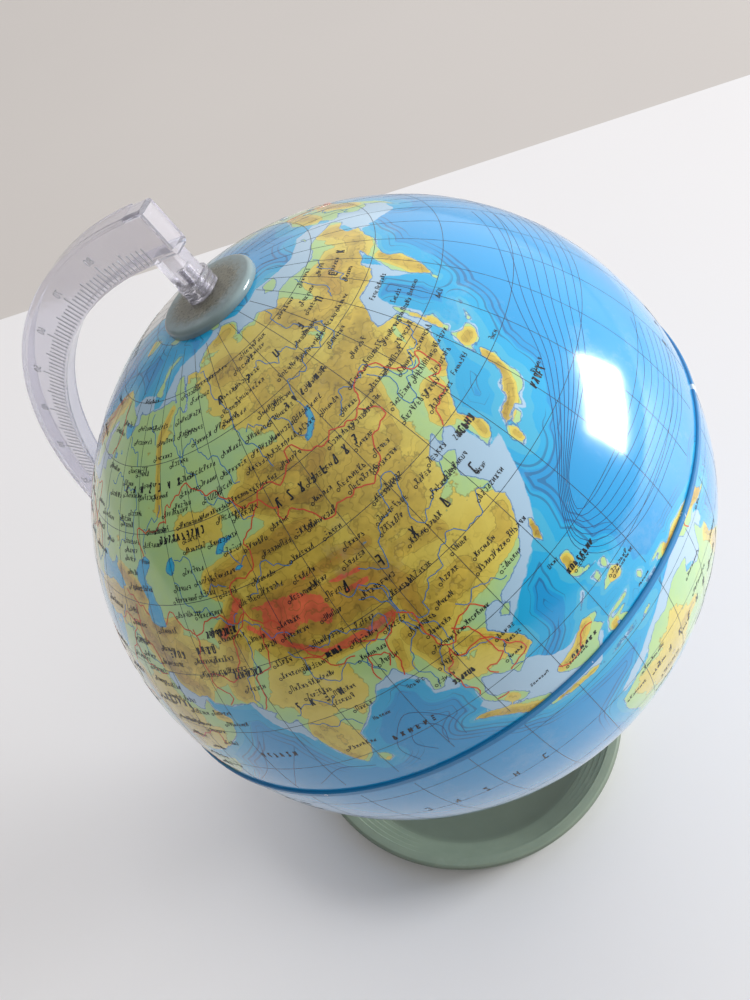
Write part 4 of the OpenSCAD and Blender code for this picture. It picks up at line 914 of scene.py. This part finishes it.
def lettering(name, words, pen):
    """Rows of mock letters, each three of the seven straight strokes. A stroke is a thin bar: its two ends
    moved half the pen's width either way across it, just above the surface and just under it. Words are rows
    of longitude, latitude, letter height in mm, number of letters and spacing; they run eastwards. Close-set
    words have a tall first letter and mostly low ones after it."""
    ends = []
    for lon, lat, tall, count, pitch in words:
        for k in range(int(count)):
            picked = STROKES[rng.choice(7, 3, replace=False)]
            part = tall if pitch > 1 or k == 0 or rng.uniform() < 0.2 else tall * LOW
            x = picked[:, ::2] * tall * 0.75 + k * PITCH * pitch * tall + picked[:, 1::2] * SLANT * part
            y = picked[:, 1::2] * part
            east = lon + np.degrees(x / 1000 / GLOBE_R) / math.cos(math.radians(lat))
            ends.append(np.stack([east, lat + np.degrees(y / 1000 / GLOBE_R)], -1))
    ends = np.concatenate(ends)
    d = on_map(ends[..., 0], ends[..., 1])
    up = np.abs(d @ NORTH)
    d = d[(up > 0.02).all(1) & (up < 0.985).all(1)]
    way = d[:, 1] - d[:, 0]
    across = np.cross(d.mean(1), way)
    across *= pen / 2 / np.linalg.norm(across, axis=1, keepdims=True)
    corners = np.stack([d[:, end] * radius + way * across for radius in (GLOBE_R + INK, GLOBE_R - INK)
                        for end, way in ((0, -1), (0, 1), (1, 1), (1, -1))], 1)
    faces = repeated(BOX[:, ::-1], 8, len(corners))
    new_mesh(name, corners + CENTRE, faces, "globe", [BLACK])


def scattered(west, east, south, north, wide, tall):
    """Places on a grid of that spacing, each moved by chance within its cell."""
    lon, lat = np.meshgrid(np.arange(west, east, wide), np.arange(south, north, tall))
    lon = (lon + rng.uniform(0, wide * 0.8, lon.shape)).ravel()
    return lon, (lat + rng.uniform(0, tall * 0.5, lat.shape)).ravel()


# Patches of the map with names: west, east, south, north, and the spacing of the names east and north
TOWNS, SEA_WORDS = [], []
for patch in ((40, 150, 8, 70, 7.6, 2.1), (-125, 40, 20, 68, 9, 3.4), (-80, 150, -38, 8, 11, 4)):
    lon, lat = scattered(*patch)
    inland = np.minimum(signed(lon, lat, LAND.values(), 3), -signed(lon, lat, WATER.values(), 3))
    dense = np.where(lat < 56, 0.85, 0.45)
    lucky = rng.uniform(size=len(lon)) < dense
    TOWNS += [(x, y) for x, y in np.stack([lon, lat], 1)[(inland > 0.5) & lucky]]
    lucky = rng.uniform(size=len(lon)) < 0.3
    SEA_WORDS += [(x, y) for x, y in np.stack([lon, lat], 1)[(inland < -0.6) & (inland > -2.9) & lucky]]

lettering("town_names", [(x + 0.5, y, rng.uniform(1.25, 1.5), rng.integers(5, 10), 1.0) for x, y in TOWNS], 0.00018)
lettering("sea_names", [(x, y, 1.2, rng.integers(4, 9), 1.0) for x, y in SEA_WORDS], 0.00016)
lettering("region_names", [
    (88, 64.5, 2.2, 7, 6.0), (91, 46.6, 2.1, 8, 2.3), (93, 33.5, 2.4, 5, 6.0), (74, 22.5, 1.9, 4, 3.2),
    (58, 48.5, 1.6, 10, 1.5), (139.8, 33, 1.7, 5, 1.1), (124.6, 37.6, 1.6, 5, 1.1), (60, 33, 1.7, 4, 1.6),
    (52, 32.5, 1.7, 4, 1.4), (97, 15, 1.4, 6, 1.1), (64, 35, 1.5, 9, 1.1), (66, 29, 1.5, 8, 1.1),
    (120, 15.5, 1.5, 8, 1.2), (42, 24, 1.9, 6, 1.8), (112, 0.5, 1.6, 6, 1.4), (84, 27.8, 1.2, 5, 1.1),
    (105, 57, 1.5, 6, 2.4), (43, 56, 1.8, 7, 3.0), (-102, 40, 2.4, 9, 3.0), (-110, 56, 2.4, 6, 5.0),
    (-60, -10, 2.4, 6, 4.0), (-68, -35, 1.9, 9, 1.6), (122, -25, 2.4, 9, 3.2), (5, 25, 2.4, 6, 5.0),
    (20, -2, 2.0, 5, 2.6), (22, -29, 1.8, 10, 1.4), (-45, 72, 2.0, 9, 1.6), (170, 10, 2.6, 5, 5.0),
    (75, -20, 2.6, 5, 5.0), (-30, 20, 2.6, 9, 3.0), (84, 11, 1.8, 6, 1.8), (60, 14, 1.8, 6, 1.8)], 0.00042)


def town_rings():
    """A small open circle beside each name: a four-cornered section carried round a circle of eight points."""
    d = on_map(*np.array(TOWNS).T)
    east = np.cross(NORTH, d)
    east /= np.linalg.norm(east, axis=1, keepdims=True)
    north = np.cross(d, east)
    a = np.linspace(0, 2 * np.pi, 8, endpoint=False)
    ring = east[:, None] * np.cos(a)[:, None] + north[:, None] * np.sin(a)[:, None]
    size = np.array([0.00048, 0.00048, 0.0003, 0.0003])
    lift = np.array([INK, -INK, -INK, INK])
    points = (ring[:, :, None] * size[:, None] + d[:, None, None] * (GLOBE_R + lift)[:, None])
    faces = repeated(grid_faces(8, 4, closed_rows=True)[:, ::-1], 32, len(d))
    new_mesh("town_rings", points + CENTRE, faces, "globe", [BLACK])


town_rings()

# ---- the degree scale moulded on the arm ----

FACE = CENTRE + ASIDE * ARM_W / 2
BOW = FACE + TO_ARM * ARM_SHIFT
# From the arm's inner edge to the marks, and to the feet of the numbers
MARKS_AT, NUMBERS_AT = 0.0006, 0.0086
MARK_LENGTHS = {10: 0.0072, 5: 0.0064, 1: 0.0052}
MARK_HALF, PROUD, SUNK = 0.00026, 0.00012, 0.0001


def scale_marks():
    """Ribs square to the bow, one each degree, longer at each fifth and longest at each tenth."""
    angle = np.arange(-89, 90)
    long = np.where(angle % 10 == 0, MARK_LENGTHS[10], np.where(angle % 5 == 0, MARK_LENGTHS[5], MARK_LENGTHS[1]))
    a = np.radians(angle)[:, None]
    out = TO_ARM * np.cos(a) + NORTH * np.sin(a)
    side = (NORTH * np.cos(a) - TO_ARM * np.sin(a)) * MARK_HALF
    near, far = out * (ARM_IN + MARKS_AT), out * (ARM_IN + MARKS_AT + long[:, None])
    rim = np.stack([near - side, far - side, far + side, near + side], 1)
    corners = np.concatenate([rim + ASIDE * PROUD, rim - ASIDE * SUNK], 1) + BOW
    new_mesh("scale_marks", corners, repeated(BOX, 8, len(corners)), "stand", [MOULDED])


def scale_numbers():
    """Degrees from the equator to the poles, each number a flat letter form given a thickness and
    carried to its angle on the bow: across it is along the bow and up it is outwards."""
    points, faces, used = [], [], 0
    for angle in range(-80, 90, 10):
        curve = bpy.data.curves.new("number", "FONT")
        curve.body, curve.size, curve.extrude = str(abs(angle)), 0.0036, 0.00011
        curve.align_x, curve.resolution_u = "CENTER", 3
        holder = bpy.data.objects.new("number", curve)
        mesh = bpy.data.meshes.new_from_object(holder)
        at = np.zeros(len(mesh.vertices) * 3)
        mesh.vertices.foreach_get("co", at)
        x, y, z = at.reshape(-1, 3).T
        a = math.radians(angle)
        out = TO_ARM * math.cos(a) + NORTH * math.sin(a)
        along = NORTH * math.cos(a) - TO_ARM * math.sin(a)
        points.append(BOW + out * (ARM_IN + NUMBERS_AT)
                      + np.outer(x, -along) + np.outer(y, out) + np.outer(z, ASIDE))
        faces += [[v + used for v in p.vertices] for p in mesh.polygons]
        used += len(x)
        bpy.data.objects.remove(holder)
        bpy.data.curves.remove(curve)
        bpy.data.meshes.remove(mesh)
    mesh = bpy.data.meshes.new("scale_numbers")
    mesh.from_pydata(np.concatenate(points).tolist(), [], faces)
    mesh.materials.append(MOULDED)
    piece = add_object("scale_numbers", mesh)
    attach(piece, "stand")


def moulded_ribs():
    """The arm's plastic where it is ribbed: hardly clear, and pale."""
    p = Paint("moulded ribs", Transmission_Weight=0.3, IOR=1.49)
    return p.feed(Base_Color=p.mix(tint(206, 205, 214), tint(184, 184, 196), p.noise(300, 3)),
                  Roughness=0.25 + p.noise(200, 2) * 0.15)


MOULDED = moulded_ribs()
scale_marks()
scale_numbers()


# ---- table, light and camera ----

def flat_sheet(name, corners, finish):
    """One flat face, for the table or the wall behind it."""
    mesh = bpy.data.meshes.new(name)
    mesh.from_pydata(corners, [], [list(range(len(corners)))])
    mesh.materials.append(finish)
    add_object(name, mesh)


def stage_paint(name, light, dark):
    """A matt paint, very slightly cloudy."""
    p = Paint(name)
    cloud = p.noise(3, 3, 0.5)
    return p.feed(Base_Color=p.mix(light, dark, cloud), Roughness=0.55 + cloud * 0.1)


# Two places on the table's far edge; the table and the wall run well past both, and away from the edge
EDGE_A, EDGE_B = np.array([-0.398, 0.222]), np.array([0.077, 0.517])
ALONG, DEEP = 3, 6
edge_way = (EDGE_B - EDGE_A) / np.linalg.norm(EDGE_B - EDGE_A)
near_way = np.array([edge_way[1], -edge_way[0]])
left, right = EDGE_A - ALONG * edge_way, EDGE_B + ALONG * edge_way
flat_sheet("table_top", [(*p, 0.0) for p in (left, left + DEEP * near_way, right + DEEP * near_way, right)],
           stage_paint("white table", tint(236, 234, 235), tint(231, 229, 230)))
flat_sheet("backdrop", [(*p, 0.0) for p in (left, right, right - DEEP * near_way, left - DEEP * near_way)],
           stage_paint("pale wall", tint(206, 200, 195), tint(198, 192, 188)))


def standing(columns, at):
    """The matrix of an object with those three directions of its own, at a place."""
    return Matrix([[*row, p] for row, p in zip(np.stack(columns, 1), at)] + [[0, 0, 0, 1]])


def lamp(name, at, aim, size, power, colour):
    """A flat lamp of that size, faced at a place."""
    light = bpy.data.lights.new(name, "AREA")
    light.shape, light.size, light.size_y, light.energy, light.color = "RECTANGLE", *size, power, colour
    z = np.array(at, float) - aim
    z /= np.linalg.norm(z)
    x = np.cross([0, 0, 1], z)
    x /= np.linalg.norm(x)
    add_object(name, light).matrix_world = standing((x, np.cross(z, x), z), at)


def soft_room():
    """A plain room round the scene: brightest towards the window's side and overhead, dim behind the viewer.
    The brightness follows the cosine between the way looked and the bright way."""
    room = bpy.data.worlds.new("room")
    room.use_nodes = True
    tree = room.node_tree
    way = tree.nodes.new("ShaderNodeTexCoord")
    cosine = tree.nodes.new("ShaderNodeVectorMath")
    cosine.operation = "DOT_PRODUCT"
    cosine.inputs[1].default_value = (0.22, 0.76, 0.61)
    rise = tree.nodes.new("ShaderNodeMapRange")
    rise.interpolation_type = "SMOOTHSTEP"
    for socket, value in (("From Min", -0.35), ("From Max", 1.0), ("To Min", 0.12), ("To Max", 1.2)):
        rise.inputs[socket].default_value = value
    tree.links.new(way.outputs["Generated"], cosine.inputs[0])
    tree.links.new(cosine.outputs["Value"], rise.inputs["Value"])
    tree.links.new(rise.outputs["Result"], tree.nodes["Background"].inputs["Strength"])
    tree.nodes["Background"].inputs["Color"].default_value = (1.0, 0.985, 0.98, 1)
    return room


lamp("window", (2.495, 1.668, 0.86), CENTRE, (1.3, 0.84), 96, (0.97, 0.99, 1.0))
bpy.context.scene.world = soft_room()
bpy.context.scene.view_settings.view_transform = "Standard"

eye = bpy.data.cameras.new("eye")
eye.lens, eye.sensor_width, eye.clip_start, eye.clip_end = 36.84, 36, 0.01, 20
camera = add_object("camera", eye)
TO_RIGHT, UPWARDS, BACKWARDS = (0.93773, 0.29178, -0.18849), (-0.135, 0.80609, 0.57619), (0.32006, -0.51486, 0.79529)
camera.matrix_world = standing((TO_RIGHT, UPWARDS, BACKWARDS), (0.10057, -0.1768, 0.4531))
bpy.context.scene.camera = camera
